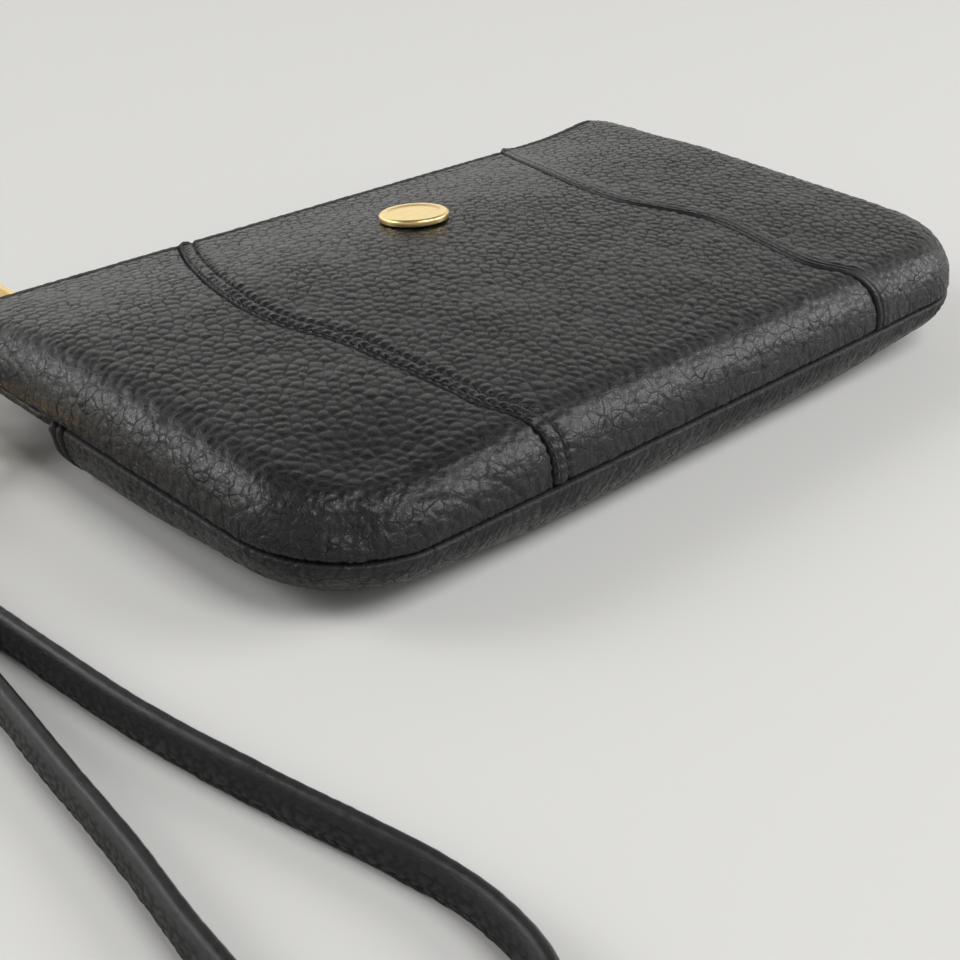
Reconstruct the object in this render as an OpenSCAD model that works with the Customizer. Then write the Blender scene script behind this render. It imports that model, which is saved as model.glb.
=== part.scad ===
// Zip-top wristlet wallet, lying on its back.
// X runs along its width, Y from its closed bottom to its zip, Z up through its thickness.
// The origin is where the middle of the back rests.

/* [Body] */
// Width from side seam to side seam
body_w = 200; // [190:1:210]
// Height from the bottom seam to the zip edge
body_h = 121; // [115:1:130]
// Height of the side seam above the surface it lies on
seam_z = 13; // [12:0.5:14]
// Rise of the front above the seam, before the crown
front_rise = 11.5; // [10:0.5:13]
// Extra rise at the crown of the front
crown_rise = 2.5; // [1:0.5:4]
// Rise of the front's folded edge above the seam at the zip
mouth_rise = 6; // [5:0.5:7]
// Drop of the back panel below the seam
back_drop = 6.5; // [6:0.5:7]
// Drop of the back's folded edge below the seam at the zip
mouth_drop = 5; // [4:0.5:6]
// Corner radius at the bottom
corner_r = 24; // [18:1:30]
// Depth over which the front rolls over to the seam
edge_roll = 13; // [10:1:16]
// Depth of that roll at the zip
mouth_roll = 6; // [5:1:13]
// Extra depth of the underside's roll at the bottom corners
corner_ease = 18; // [0:1:20]

/* [Leather and lining] */
// Leather thickness
leather_t = 1.2; // [1:0.1:1.4]
// Thickness of the front's padding
padding_t = 1.7; // [1:0.1:2]
// Thickness of the back's interlining
interlining_t = 0.5; // [0.4:0.1:0.8]
// Thickness of lining cloth, with its seam
lining_t = 0.4; // [0.3:0.1:0.6]

/* [Back pocket] */
// Height of the pocket's mouth above the bottom seam
pocket_h = 78.5; // [70:0.5:85]

/* [Zip] */
// Place of the zip's plane below the folded edges
zip_y = 56.85; // [56:0.05:58]
// Length of the tooth rows
teeth_length = 166; // [150:2:170]
// Spacing of the teeth
tooth_pitch = 2.2; // [2:0.1:3]
// Place of the closed slider along the zip
slider_x = -78; // [-78:1:-70]
// Length of the pull beyond its pivot
pull_length = 14; // [10:1:18]

/* [Badge] */
// Radius of the round front plaque
badge_r = 7.8; // [5:0.1:8]
// Thickness of the plaque
badge_t = 1.5; // [1:0.1:2]
// Place of the plaque below the zip edge
badge_drop = 33.5; // [30:0.5:40]

/* [Ring and clasp] */
// Radius of the ring's and the eye's wire
wire_r = 1; // [0.8:0.1:1.2]
// Half the inner width of the D-ring, to its wire's middle
ring_r = 6.5; // [6:0.1:7]
// Length of the D-ring's straight sides
ring_side = 5.2; // [5:0.1:5.5]
// Angle that the D-ring hangs below level
ring_hang = 70; // [65:1:75]
// Height of the clasp's middle plane
clasp_z = 6; // [6:0.1:6.5]
// Direction of the clasp, from the ring to the strap
clasp_turn = 212; // [208:1:216]

/* [Strap] */
// Height of the strap, which lies on its edge
strap_w = 7.5; // [7:0.1:8]
// Thickness of the strap
strap_t = 3.3; // [3:0.1:3.6]

/* [Hidden] */
$fn = 48;

half_w = body_w / 2;
half_h = body_h / 2;
layer_gap = 0.05;
thread_gap = 0.3;

leather_black = [0.055, 0.055, 0.06];
cloth_black = [0.09, 0.09, 0.1];
foam_grey = [0.5, 0.5, 0.5];
gold = [0.86, 0.66, 0.3];

// ---- The padded shells ----
// A shell is the body's surface drawn in by an inset, measured from the outer leather's face.
roll_power = 2.2;
function roll(q) = q >= 1 ? 1 : q <= 0 ? 0 : pow(1 - pow(1 - q, roll_power), 1 / roll_power);

// Distance of a point from the side and bottom seams; the zip edge is open
function seam_distance(x, y) =
    let (px = abs(x) - (half_w - corner_r), py = -y - (half_h - corner_r))
    corner_r - (px > 0 && py > 0 ? norm([px, py]) : max(px, py));

function towards_zip(y) = 1 - sin(90 * min(1, max(0, (half_h - y) / 45)));
function crown(x, y) =
    let (v = (y + 6) / 54.5)
    abs(v) >= 1 ? 0 : crown_rise * (1 - pow(x / half_w, 2)) * cos(90 * v);
function front_height(x, y) = front_rise - (front_rise - mouth_rise) * towards_zip(y) + crown(x, y);
function back_depth(y) = back_drop - (back_drop - mouth_drop) * towards_zip(y);

function front_roll(y) = edge_roll - (edge_roll - mouth_roll) * towards_zip(y);
function front_z(x, y, inset) =
    seam_z + (front_height(x, y) - inset) * roll((seam_distance(x, y) - inset) / (front_roll(y) - inset));

// The back panel starts inside the pocket panel's seam allowance and rolls more gently
back_inset = leather_t + lining_t + layer_gap * 2;
back_roll = 20;
function back_z(x, y, inset) =
    seam_z - (back_depth(y) + back_inset - inset)
           * roll((seam_distance(x, y) - inset) / (back_roll - inset + back_inset));
// How near a point is to a bottom corner, where the underside lifts off the surface it lies on
corner_reach = 60;
function smooth(q) = (1 - cos(180 * min(1, max(0, q)))) / 2;
function near_corner(x, y) = smooth(1 - norm([abs(x) - half_w, y + half_h]) / corner_reach);
function pocket_roll(x, y) = edge_roll + corner_ease * near_corner(x, y);
function pocket_z(x, y, inset) =
    seam_z - (seam_z - inset) * roll((seam_distance(x, y) - inset) / (pocket_roll(x, y) - inset));

// Half the outline's width at a height, for a shell with this inset
function outline_x(y, inset) =
    let (r = corner_r - inset, py = -y - (half_h - corner_r))
    half_w - inset - (py > 0 ? r - sqrt(max(0, r * r - py * py)) : 0);

// The front's two curved seams: x at the heights where the curve changes its turn
function s_curve(y, xs) =
    y > 8 ? xs[1] + (xs[0] - xs[1]) * (1 - sin(90 * (1 - (y - 8) / (half_h - 8)))) :
    y > -18 ? xs[2] + (xs[1] - xs[2]) * smooth((y + 18) / 26) :
    y > -42 ? xs[3] + (xs[2] - xs[3]) * smooth((y + 42) / 24) :
              xs[4] + (xs[3] - xs[4]) * smooth((y + half_h) / (half_h - 42));
function left_seam(y) = s_curve(y, [-38, -57.5, -52.5, -51, -46]);
function right_seam(y) = s_curve(y, [62, 43, 51, 48, 54]);

// Grid of a full-width shell. Steps crowd towards the seams, where the surface rolls.
edge_steps = 5;
inner_steps = 3;
centre_steps = 8;
seam_col = edge_steps + inner_steps;
last_col = 2 * seam_col + centre_steps;
function edge_step(i) = edge_roll * (1 - cos(90 * i / edge_steps));
function mix(a, b, q) = a + (b - a) * q;
function side_offsets(reach) = concat(
    [for (i = [0:edge_steps]) edge_step(i)],
    [for (i = [1:inner_steps]) mix(edge_roll, reach, i / inner_steps)]);
function row_x(y, inset) =
    let (edge = outline_x(y, inset), left = left_seam(y), right = right_seam(y))
    concat([for (d = side_offsets(left + edge)) -edge + d],
           [for (i = [1:centre_steps - 1]) mix(left, right, i / centre_steps)],
           [for (i = [seam_col:-1:0]) edge - side_offsets(edge - right)[i]]);
function row_y(top, steps, inset) =
    let (rows = concat([for (i = [0:edge_steps]) edge_step(i)], [(edge_roll + corner_r) / 2],
                       [for (i = [0:steps]) mix(corner_r, top, i / steps)]))
    [for (d = rows) -half_h + inset + d * (top - inset) / top];

front_rows = 7;
tape_rows = front_rows - 1;
tape_top = mix(corner_r, body_h, tape_rows / front_rows);
pocket_rows = 3;

function front_grid(top, steps, inset) =
    [for (y = row_y(top, steps, inset)) [for (x = row_x(y, inset)) [x, y, front_z(x, y, inset)]]];
function back_grid(top, steps, inset) =
    [for (y = row_y(top, steps, inset)) [for (x = row_x(y, inset)) [x, y, back_z(x, y, inset)]]];
function pocket_grid(inset) =
    [for (y = row_y(pocket_h, pocket_rows, inset))
        [for (x = row_x(y, inset)) [x, y, pocket_z(x, y, inset)]]];
function columns(grid, first, last) = [for (row = grid) [for (i = [first:last]) row[i]]];

// Closed solid between two grids of the same size; the upper one has the higher Z
module between(upper, lower) {
    rows = len(upper);
    cols = len(upper[0]);
    count = rows * cols;
    function up(r, c) = r * cols + c;
    function low(r, c) = count + r * cols + c;
    points = concat([for (row = upper) each row], [for (row = lower) each row]);
    top_faces = [for (r = [0:rows - 2]) for (c = [0:cols - 2])
        each [[up(r, c), up(r + 1, c), up(r + 1, c + 1)], [up(r, c), up(r + 1, c + 1), up(r, c + 1)]]];
    bottom_faces = [for (r = [0:rows - 2]) for (c = [0:cols - 2])
        each [[low(r, c), low(r + 1, c + 1), low(r + 1, c)], [low(r, c), low(r, c + 1), low(r + 1, c + 1)]]];
    row_ends = [for (c = [0:cols - 2])
        each [[up(0, c), up(0, c + 1), low(0, c)], [up(0, c + 1), low(0, c + 1), low(0, c)],
              [up(rows - 1, c), low(rows - 1, c), up(rows - 1, c + 1)],
              [up(rows - 1, c + 1), low(rows - 1, c), low(rows - 1, c + 1)]]];
    col_ends = [for (r = [0:rows - 2])
        each [[up(r, 0), low(r, 0), up(r + 1, 0)], [up(r + 1, 0), low(r, 0), low(r + 1, 0)],
              [up(r, cols - 1), up(r + 1, cols - 1), low(r, cols - 1)],
              [up(r + 1, cols - 1), low(r + 1, cols - 1), low(r, cols - 1)]]];
    polyhedron(points, concat(top_faces, bottom_faces, row_ends, col_ends), convexity = 6);
}

padding_inset = leather_t + layer_gap;
front_lining_inset = padding_inset + padding_t + layer_gap;
interlining_inset = back_inset + leather_t + layer_gap;
back_lining_inset = interlining_inset + interlining_t + layer_gap;
pocket_lining_inset = leather_t + layer_gap;

module front_layer(first, last, top, steps, inset, thickness) {
    between(columns(front_grid(top, steps, inset), first, last),
            columns(front_grid(top, steps, inset + thickness), first, last));
}
module back_layer(top, steps, inset, thickness) {
    between(back_grid(top, steps, inset + thickness), back_grid(top, steps, inset));
}

module front_left_panel() {
    color(leather_black) front_layer(0, seam_col, body_h, front_rows, 0, leather_t);
}
module front_centre_panel() {
    color(leather_black)
        front_layer(seam_col, last_col - seam_col, body_h, front_rows, 0, leather_t);
}
module front_right_panel() {
    color(leather_black)
        front_layer(last_col - seam_col, last_col, body_h, front_rows, 0, leather_t);
}
module front_padding() {
    color(foam_grey) front_layer(0, last_col, tape_top, tape_rows, padding_inset, padding_t);
}
module front_lining() {
    color(cloth_black) front_layer(0, last_col, tape_top, tape_rows, front_lining_inset, lining_t);
}
module back_panel() {
    color(leather_black) back_layer(body_h, front_rows, back_inset, leather_t);
}
module back_interlining() {
    color(foam_grey) back_layer(tape_top, tape_rows, interlining_inset, interlining_t);
}
module back_lining() {
    color(cloth_black) back_layer(tape_top, tape_rows, back_lining_inset, lining_t);
}
module back_pocket_panel() {
    color(leather_black) between(pocket_grid(leather_t), pocket_grid(0));
}
module pocket_lining() {
    color(cloth_black)
        between(pocket_grid(pocket_lining_inset + lining_t), pocket_grid(pocket_lining_inset));
}

// ---- The zip, across the open mouth ----
tape_t = 0.4;
tape_half = 84;
tape_edge = 1.5;
front_fold_z = seam_z + mouth_rise - leather_t - layer_gap;
back_fold_z = seam_z - mouth_drop + leather_t + layer_gap;
zip_z = (front_fold_z + back_fold_z) / 2;
sewn_y = -half_h + tape_top + 0.3;

// Runs a shape drawn in Y and Z along X
module along_x(x0, x1) {
    translate([x0, 0, 0]) rotate([90, 0, 90]) linear_extrude(x1 - x0) children();
}
// The visible strip stands across the mouth and its sewn edge lies under the leather
module zip_tape(fold_z, slope_z, side) {
    near = zip_y - tape_t / 2;
    far = zip_y + tape_t / 2;
    along_x(-tape_half, tape_half)
        polygon([[near, zip_z + side * tape_edge], [far, zip_z + side * tape_edge], [far, fold_z],
                 [sewn_y, slope_z], [sewn_y, slope_z - side * tape_t], [near, fold_z - side * tape_t]]);
}
module zip_tape_front() {
    color(cloth_black)
        zip_tape(front_z(0, zip_y, leather_t) - thread_gap,
                 front_z(0, sewn_y, leather_t) - thread_gap, 1);
}
module zip_tape_back() {
    color(cloth_black)
        zip_tape(back_z(0, zip_y, interlining_inset) + thread_gap,
                 back_z(0, sewn_y, interlining_inset) + thread_gap, -1);
}

tooth_t = 1.5;
tooth_depth = 1.8;
tooth_gap = 0.6;
tooth_w = tooth_pitch / 2;
teeth_start = -84;
// Each row stops short of the zip's middle line, which leaves room for the slider's post
module zip_teeth(side, offset) {
    for (i = [0:floor(teeth_length / tooth_pitch) - 1])
        translate([teeth_start + offset + i * tooth_pitch, zip_y - tooth_t / 2,
                   zip_z + (side > 0 ? tooth_gap : -tooth_gap - tooth_depth)])
            cube([tooth_w, tooth_t, tooth_depth]);
}
module zip_teeth_front() { color(cloth_black) zip_teeth(1, 0); }
module zip_teeth_back() { color(cloth_black) zip_teeth(-1, tooth_pitch / 2); }

stop_w = 1.4;
module zip_top_stops() {
    color(gold) for (side = [-1, 1])
        translate([teeth_start - 0.2 - stop_w, zip_y - 0.9, zip_z + (side > 0 ? 0.6 : -2.4)])
            cube([stop_w, 1.8, 1.8]);
}
module zip_bottom_stop() {
    color(gold)
        translate([teeth_start + teeth_length + 0.6, zip_y - 0.95, zip_z - 2.5]) cube([2.4, 1.9, 5]);
}
// Folded leather that covers the tape's end, where the mouth narrows to the corner
module zip_end_tab(side) {
    far = side * (half_w - 4);
    near = side * (tape_half + 3);
    translate([0, zip_y + 1.3, 0]) rotate([90, 0, 0]) linear_extrude(2.6)
        polygon([[near, zip_z - 3.4], [near, zip_z + 3.4], [far, seam_z + 2.2], [far, seam_z - 0.6]]);
}
module zip_end_tab_left() { color(leather_black) zip_end_tab(-1); }
module zip_end_tab_right() { color(leather_black) zip_end_tab(1); }

slider_l = 9;
slider_w = 6.8;
plate_t = 0.9;
outer_plate_y = zip_y + 1.15;
inner_plate_y = zip_y - 1.15;
flange_reach = 0.6;
pivot_y = outer_plate_y + plate_t + 1.35;
bridge_w = 2.2;
bridge_outer = 2.9;
bridge_inner = 1.9;
// Block given by its middle in X and Z, and its two faces in Y
module slab(x, y0, y1, z, length, width) {
    translate([x - length / 2, y0, z - width / 2]) cube([length, y1 - y0, width]);
}
module zip_slider() {
    color(gold) {
        slab(slider_x, outer_plate_y, outer_plate_y + plate_t, zip_z, slider_l, slider_w);
        slab(slider_x, inner_plate_y - plate_t, inner_plate_y, zip_z, slider_l, slider_w);
        for (side = [-1, 1]) {
            z = zip_z + side * (slider_w - 0.6) / 2;
            slab(slider_x, outer_plate_y - flange_reach, outer_plate_y, z, slider_l, 0.6);
            slab(slider_x, inner_plate_y, inner_plate_y + flange_reach, z, slider_l, 0.6);
        }
        // Post that joins the two plates between the tooth rows
        slab(slider_x - slider_l / 2 + 1, inner_plate_y, outer_plate_y, zip_z, 2, 0.8);
        // Bridge that holds the pull
        translate([slider_x, pivot_y, zip_z - bridge_w / 2]) linear_extrude(bridge_w)
            difference() {
                union() {
                    circle(bridge_outer);
                    translate([-bridge_outer, -1.4]) square([2 * bridge_outer, 1.4]);
                }
                circle(bridge_inner);
                translate([-bridge_inner, -1.35]) square([2 * bridge_inner, 1.35]);
                translate([-4, -5]) square([8, 3.65]);
            }
    }
}
pull_pin_r = 0.6;
pull_arm_in = bridge_w / 2 + 0.3;
pull_arm_w = 1.2;
pull_t = 1.2;
module zip_pull() {
    color(gold) translate([slider_x, pivot_y, zip_z]) {
        cylinder(r = pull_pin_r, h = 2 * pull_arm_in + 1, center = true);
        for (side = [-1, 1])
            translate([-pull_t / 2, 0, side > 0 ? pull_arm_in : -pull_arm_in - pull_arm_w])
                cube([pull_t, 5, pull_arm_w]);
        difference() {
            union() {
                translate([-pull_t / 2, 4.2, -pull_arm_in - pull_arm_w])
                    cube([pull_t, pull_length - 6.7, 2 * (pull_arm_in + pull_arm_w)]);
                translate([0, pull_length - 2.6, 0]) rotate([0, 90, 0])
                    cylinder(r = pull_arm_in + pull_arm_w, h = pull_t, center = true);
            }
            translate([0, pull_length - 2.6, 0]) rotate([0, 90, 0])
                cylinder(r = 1.3, h = 2 * pull_t, center = true);
        }
    }
}

// ---- The plaque on the front ----
badge_y = half_h - badge_drop;
badge_tilt = -8;
washer_drop = leather_t + 0.7;
module on_badge() {
    translate([0, badge_y, front_z(0, badge_y, 0)]) rotate([badge_tilt, 0, 0]) children();
}
module badge_plate() {
    color(gold) on_badge() {
        translate([0, 0, 0.15]) rotate_extrude()
            polygon([[0, 0], [badge_r, 0], [badge_r, badge_t - 0.4], [badge_r - 0.5, badge_t],
                     [badge_r - 1.6, badge_t], [badge_r - 2, badge_t - 0.25], [0, badge_t - 0.1]]);
        for (side = [-1, 1])
            translate([side * 3 - 0.3, -1, -washer_drop - 0.5]) cube([0.6, 2, washer_drop + 1]);
    }
}
module badge_washer() {
    color("silver") on_badge() translate([0, 0, -washer_drop]) difference() {
        cylinder(r = 5, h = 0.4);
        for (side = [-1, 1]) translate([side * 3 - 0.45, -1.2, -1]) cube([0.9, 2.4, 3]);
    }
}

// ---- The ring tab and the D-ring at the left side seam ----
tab_y = 45;
tab_w = 10;
tab_bore = wire_r + 0.05;
tab_outer = tab_bore + leather_t;
bar_x = -half_w - 6.3;
module ring_tab() {
    color(leather_black) translate([0, tab_y + tab_w / 2, 0]) rotate([90, 0, 0])
        linear_extrude(tab_w) translate([bar_x, seam_z]) difference() {
            union() {
                circle(tab_outer);
                polygon([[0, -tab_outer], [4, -1.2], [8.8, -1.2], [8.8, 1.2], [4, 1.2], [0, tab_outer]]);
            }
            circle(tab_bore);
        }
}
module on_ring() {
    translate([bar_x, tab_y, seam_z]) rotate([0, -ring_hang, 0]) mirror([1, 0, 0]) children();
}
module d_ring() {
    color(gold) on_ring() {
        rotate([90, 0, 0]) cylinder(r = wire_r, h = 2 * ring_r, center = true);
        for (side = [-1, 1]) translate([0, side * ring_r, 0]) {
            sphere(wire_r);
            rotate([0, 90, 0]) cylinder(r = wire_r, h = ring_side);
        }
        translate([ring_side, 0, 0]) rotate([0, 0, -90]) rotate_extrude(angle = 180)
            translate([ring_r, 0]) circle(wire_r);
    }
}

// ---- The swivel clasp. Its own X runs from the ring to the strap ----
// The ring's wire crosses the clasp's middle plane at this point
cross_reach = (seam_z - clasp_z) / sin(ring_hang);
cross_turn = asin((cross_reach - ring_side) / ring_r);
cross_x = bar_x - cross_reach * cos(ring_hang);
cross_y = tab_y - ring_r * cos(cross_turn);
hook_offset = 2.2;
// Distance from that crossing to the bar that holds the strap
bar_distance = 33;
module on_clasp() {
    translate([cross_x, cross_y, clasp_z]) rotate([0, 0, clasp_turn]) translate([hook_offset, 0, 0])
        children();
}
hook_in = 4.6;
hook_out = 6.8;
hook_t = 3.6;
gate_slot = 2.4;
pin_x = 7.6;
pin_y = 3.2;
pin_r = 0.6;
post_r = 1.4;
post_x = 18;
module pie(r, a0, a1) {
    polygon(concat([[0, 0]], [for (i = [0:8]) r * [cos(mix(a0, a1, i / 8)), sin(mix(a0, a1, i / 8))]]));
}
gate_start = 32;
mouth_end = 130;
// The gate's free end keeps within this distance of its pin
gate_reach = 9.1;
module clasp_hook() {
    color(gold) on_clasp() {
        difference() {
            translate([0, 0, -hook_t / 2]) linear_extrude(hook_t) difference() {
                union() {
                    circle(hook_out);
                    polygon([[4, -5.4], [10, -4.6], [14, -3], [post_x, -2.4], [post_x, 2.4], [14, 3],
                             [10.6, 4.6], [7.6, 5.6], [4, 5.4]]);
                }
                circle(hook_in);
                // Mouth that the gate closes
                intersection() {
                    pie(12, gate_start + 12, mouth_end);
                    translate([pin_x, pin_y]) circle(gate_reach + 0.2);
                }
            }
            // Slot for the root of the gate
            translate([3, 1, -gate_slot / 2]) cube([7.2, 6, gate_slot]);
            translate([pin_x, pin_y, -5]) cylinder(r = pin_r + 0.02, h = 10);
        }
        translate([post_x - 1, 0, 0]) rotate([0, 90, 0]) cylinder(r = post_r, h = 5.4);
        translate([post_x + 3.4, 0, 0]) rotate([0, 90, 0]) cylinder(r = 2.3, h = 1.2);
    }
}
gate_t = 1.6;
module clasp_gate() {
    color(gold) on_clasp() translate([0, 0, -gate_slot / 2 + 0.1]) difference() {
        linear_extrude(gate_t) union() {
            difference() {
                intersection() {
                    circle(hook_out);
                    pie(12, gate_start - 6, mouth_end);
                    translate([pin_x, pin_y]) circle(gate_reach);
                }
                circle(hook_in);
            }
            translate([pin_x, pin_y]) circle(1.7);
            polygon([[4.4, 2.6], [7, 1.7], [8.2, 4.8], [5.4, 5.8]]);
            // Thumb nub
            translate([4.6, 6.4]) circle(1.5);
        }
        translate([pin_x, pin_y, -1]) cylinder(r = pin_r + 0.05, h = 4);
    }
}
module gate_pin() {
    color(gold) on_clasp() translate([pin_x, pin_y, -hook_t / 2]) cylinder(r = pin_r, h = hook_t);
}
module gate_spring() {
    color("silver") on_clasp() translate([pin_x, pin_y, gate_slot / 2 - 0.65])
        difference() {
            cylinder(r = 1.3, h = 0.5);
            translate([0, 0, -1]) cylinder(r = pin_r + 0.1, h = 3);
        }
}
eye_bore = post_r + 0.06;
eye_x = post_x + 0.4;
eye_plate = 2.6;
bar_reach = bar_distance - hook_offset;
eye_half = 3.6;
module swivel_eye() {
    color(gold) on_clasp() difference() {
        union() {
            translate([eye_x, 0, 0]) rotate([0, 90, 0]) cylinder(r = 3, h = eye_plate);
            // Shoulders, arms and bar
            for (side = [-1, 1]) {
                translate([eye_x, -wire_r, side > 0 ? 2 : -eye_half - 2])
                    cube([eye_plate, 2 * wire_r, eye_half]);
                translate([eye_x, -wire_r, side > 0 ? eye_half : -eye_half - 2])
                    cube([bar_reach - eye_x, 2 * wire_r, 2]);
            }
            translate([bar_reach, 0, 0]) cylinder(r = wire_r, h = 2 * eye_half + 4, center = true);
        }
        translate([eye_x - 1, 0, 0]) rotate([0, 90, 0]) cylinder(r = eye_bore, h = eye_plate + 2);
    }
}

// ---- The strap: a closed loop on its edge, its ends sewn round the eye's bar ----
strap_bar = [cross_x, cross_y] + bar_distance * [cos(clasp_turn), sin(clasp_turn)];
wrap_bore = wire_r + 0.25;
wrap_t = 1.9;
wrap_h = 6.6;
wrap_z = clasp_z - wrap_h / 2;
joint_end_y = 2;
// Middle line of the loop, from one side of the sewn joint round to the other
loop_route = [[1.7, 4], [2.4, -8], [3.6, -20], [4.6, -36], [6, -54], [8.4, -70], [11.6, -86],
              [14.6, -100], [16.4, -110], [16.6, -120], [14.4, -130], [8.6, -138.5], [0.8, -142],
              [-7.2, -140.5], [-13, -133], [-15.4, -122], [-15.6, -110], [-14.2, -96], [-11.4, -79],
              [-8.7, -57], [-6.4, -40], [-4.2, -22], [-2.5, -8], [-1.7, 4]];
loop_x = -138.6;
function spline(p0, p1, p2, p3, t) =
    0.5 * (2 * p1 + (p2 - p0) * t + (2 * p0 - 5 * p1 + 4 * p2 - p3) * t * t
           + (3 * p1 - p0 - 3 * p2 + p3) * t * t * t);
loop_last = len(loop_route) - 1;
loop_line = [for (i = [0:loop_last - 1]) for (k = [0:2])
                spline(loop_route[max(0, i - 1)], loop_route[i], loop_route[i + 1],
                       loop_route[min(loop_last, i + 2)], k / 3),
             loop_route[loop_last]];
function side_point(line, i, reach) =
    let (step = line[min(len(line) - 1, i + 1)] - line[max(0, i - 1)], n = [-step[1], step[0]] / norm(step))
    line[i] + reach * n;
module strap() {
    color(leather_black) {
        translate([loop_x, 0, 0]) linear_extrude(strap_w)
            polygon(concat(
                [for (i = [0:len(loop_line) - 1]) side_point(loop_line, i, strap_t / 2)],
                [for (i = [len(loop_line) - 1:-1:0]) side_point(loop_line, i, -strap_t / 2)]));
        // The two ends, sewn flat against each other
        translate([loop_x - strap_t, joint_end_y, 1]) cube([2 * strap_t, 12, strap_w - 0.2]);
        translate([0, 0, wrap_z]) linear_extrude(wrap_h) difference() {
            union() {
                translate(strap_bar) circle(wrap_bore + wrap_t);
                polygon([strap_bar - [wrap_bore + wrap_t, 0], strap_bar + [wrap_bore + wrap_t, 0],
                         [loop_x + strap_t, joint_end_y + 12], [loop_x + strap_t, joint_end_y + 9],
                         [loop_x - strap_t, joint_end_y + 9], [loop_x - strap_t, joint_end_y + 12]]);
            }
            translate(strap_bar) circle(wrap_bore);
        }
    }
}

front_left_panel();
front_centre_panel();
front_right_panel();
front_padding();
front_lining();
back_lining();
back_interlining();
back_panel();
pocket_lining();
back_pocket_panel();
zip_tape_front();
zip_tape_back();
zip_teeth_front();
zip_teeth_back();
zip_top_stops();
zip_bottom_stop();
zip_end_tab_left();
zip_end_tab_right();
zip_slider();
zip_pull();
badge_plate();
badge_washer();
ring_tab();
d_ring();
clasp_hook();
clasp_gate();
gate_pin();
gate_spring();
swivel_eye();
strap();
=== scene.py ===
"""Looks of the wristlet wallet: pebbled leather, lining, zip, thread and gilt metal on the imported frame."""

import math

import bmesh
import bpy
import numpy as np
from mathutils import Matrix, Vector


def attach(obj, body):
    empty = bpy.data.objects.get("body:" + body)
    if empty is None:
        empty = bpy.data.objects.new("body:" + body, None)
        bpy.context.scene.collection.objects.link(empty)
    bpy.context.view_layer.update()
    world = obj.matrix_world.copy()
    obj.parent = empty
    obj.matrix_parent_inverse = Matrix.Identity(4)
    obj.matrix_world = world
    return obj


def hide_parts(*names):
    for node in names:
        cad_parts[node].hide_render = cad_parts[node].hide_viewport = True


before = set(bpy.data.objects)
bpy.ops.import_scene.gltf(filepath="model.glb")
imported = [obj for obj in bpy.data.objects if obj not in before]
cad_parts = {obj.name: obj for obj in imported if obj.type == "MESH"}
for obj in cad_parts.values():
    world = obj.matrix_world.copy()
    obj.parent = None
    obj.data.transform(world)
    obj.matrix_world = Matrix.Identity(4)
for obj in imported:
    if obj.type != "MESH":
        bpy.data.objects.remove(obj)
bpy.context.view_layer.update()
scene = bpy.context.scene
MM = 0.001

# ---- camera
CAMERA_AZIMUTH = math.radians(-46.5256)
CAMERA_ELEVATION = math.radians(29.8653)
CAMERA_ROLL = math.radians(2.8486)
CAMERA_DISTANCE = 0.318716
CAMERA_TARGET = Vector((-0.038904, -0.033889, 0.0))
CAMERA_LENS = 62.15

back = Vector((math.sin(CAMERA_AZIMUTH) * math.cos(CAMERA_ELEVATION),
               -math.cos(CAMERA_AZIMUTH) * math.cos(CAMERA_ELEVATION),
               math.sin(CAMERA_ELEVATION)))
level = Vector((0, 0, 1)).cross(back).normalized()
upright = back.cross(level)
right = math.cos(CAMERA_ROLL) * level + math.sin(CAMERA_ROLL) * upright
up = -math.sin(CAMERA_ROLL) * level + math.cos(CAMERA_ROLL) * upright
camera_data = bpy.data.cameras.new("camera")
camera = bpy.data.objects.new("camera", camera_data)
scene.collection.objects.link(camera)
camera_data.sensor_width = 36
camera_data.lens = CAMERA_LENS
camera_data.clip_start, camera_data.clip_end = 0.005, 20
turn = Matrix((right, up, back)).transposed().to_4x4()
camera.matrix_world = Matrix.Translation(CAMERA_TARGET + back * CAMERA_DISTANCE) @ turn
scene.camera = camera
scene.view_settings.view_transform = "Standard"


# ---- materials
def new_material(name):
    material = bpy.data.materials.new(name)
    material.use_nodes = True
    tree = material.node_tree
    shader = tree.nodes["Principled BSDF"]
    return material, tree, shader


def add_node(tree, kind, values=None, **settings):
    made = tree.nodes.new(kind)
    for key, value in settings.items():
        setattr(made, key, value)
    for key, value in (values or {}).items():
        made.inputs[key].default_value = value
    return made


def ramp(tree, source, stops):
    """Colour ramp on a value; stops are (place, grey or colour)."""
    made = tree.nodes.new("ShaderNodeValToRGB")
    elements = made.color_ramp.elements
    while len(elements) < len(stops):
        elements.new(0.5)
    for element, (place, tint) in zip(elements, stops):
        element.position = place
        element.color = (tint, tint, tint, 1) if isinstance(tint, (int, float)) else (*tint, 1)
    tree.links.new(source, made.inputs[0])
    return made.outputs[0]


def object_place(tree, scale=(1, 1, 1)):
    """Place on the object, in millimetres."""
    where = add_node(tree, "ShaderNodeTexCoord")
    mapping = add_node(tree, "ShaderNodeMapping", {"Scale": [share / MM for share in scale]})
    tree.links.new(where.outputs["Object"], mapping.inputs[0])
    return mapping.outputs[0]


def noise(tree, place, scale, detail=3, roughness=0.55):
    made = add_node(tree, "ShaderNodeTexNoise", {"Scale": scale, "Detail": detail, "Roughness": roughness})
    tree.links.new(place, made.inputs["Vector"])
    return made.outputs["Fac"]


def cracks(tree, place, scale):
    made = add_node(tree, "ShaderNodeTexVoronoi", {"Scale": scale}, feature="DISTANCE_TO_EDGE")
    tree.links.new(place, made.inputs["Vector"])
    return made.outputs["Distance"]


def math_node(tree, operation, a, b):
    made = add_node(tree, "ShaderNodeMath", operation=operation)
    for socket, value in zip(made.inputs, (a, b)):
        if isinstance(value, (int, float)):
            socket.default_value = value
        else:
            tree.links.new(value, socket)
    return made.outputs[0]


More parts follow.
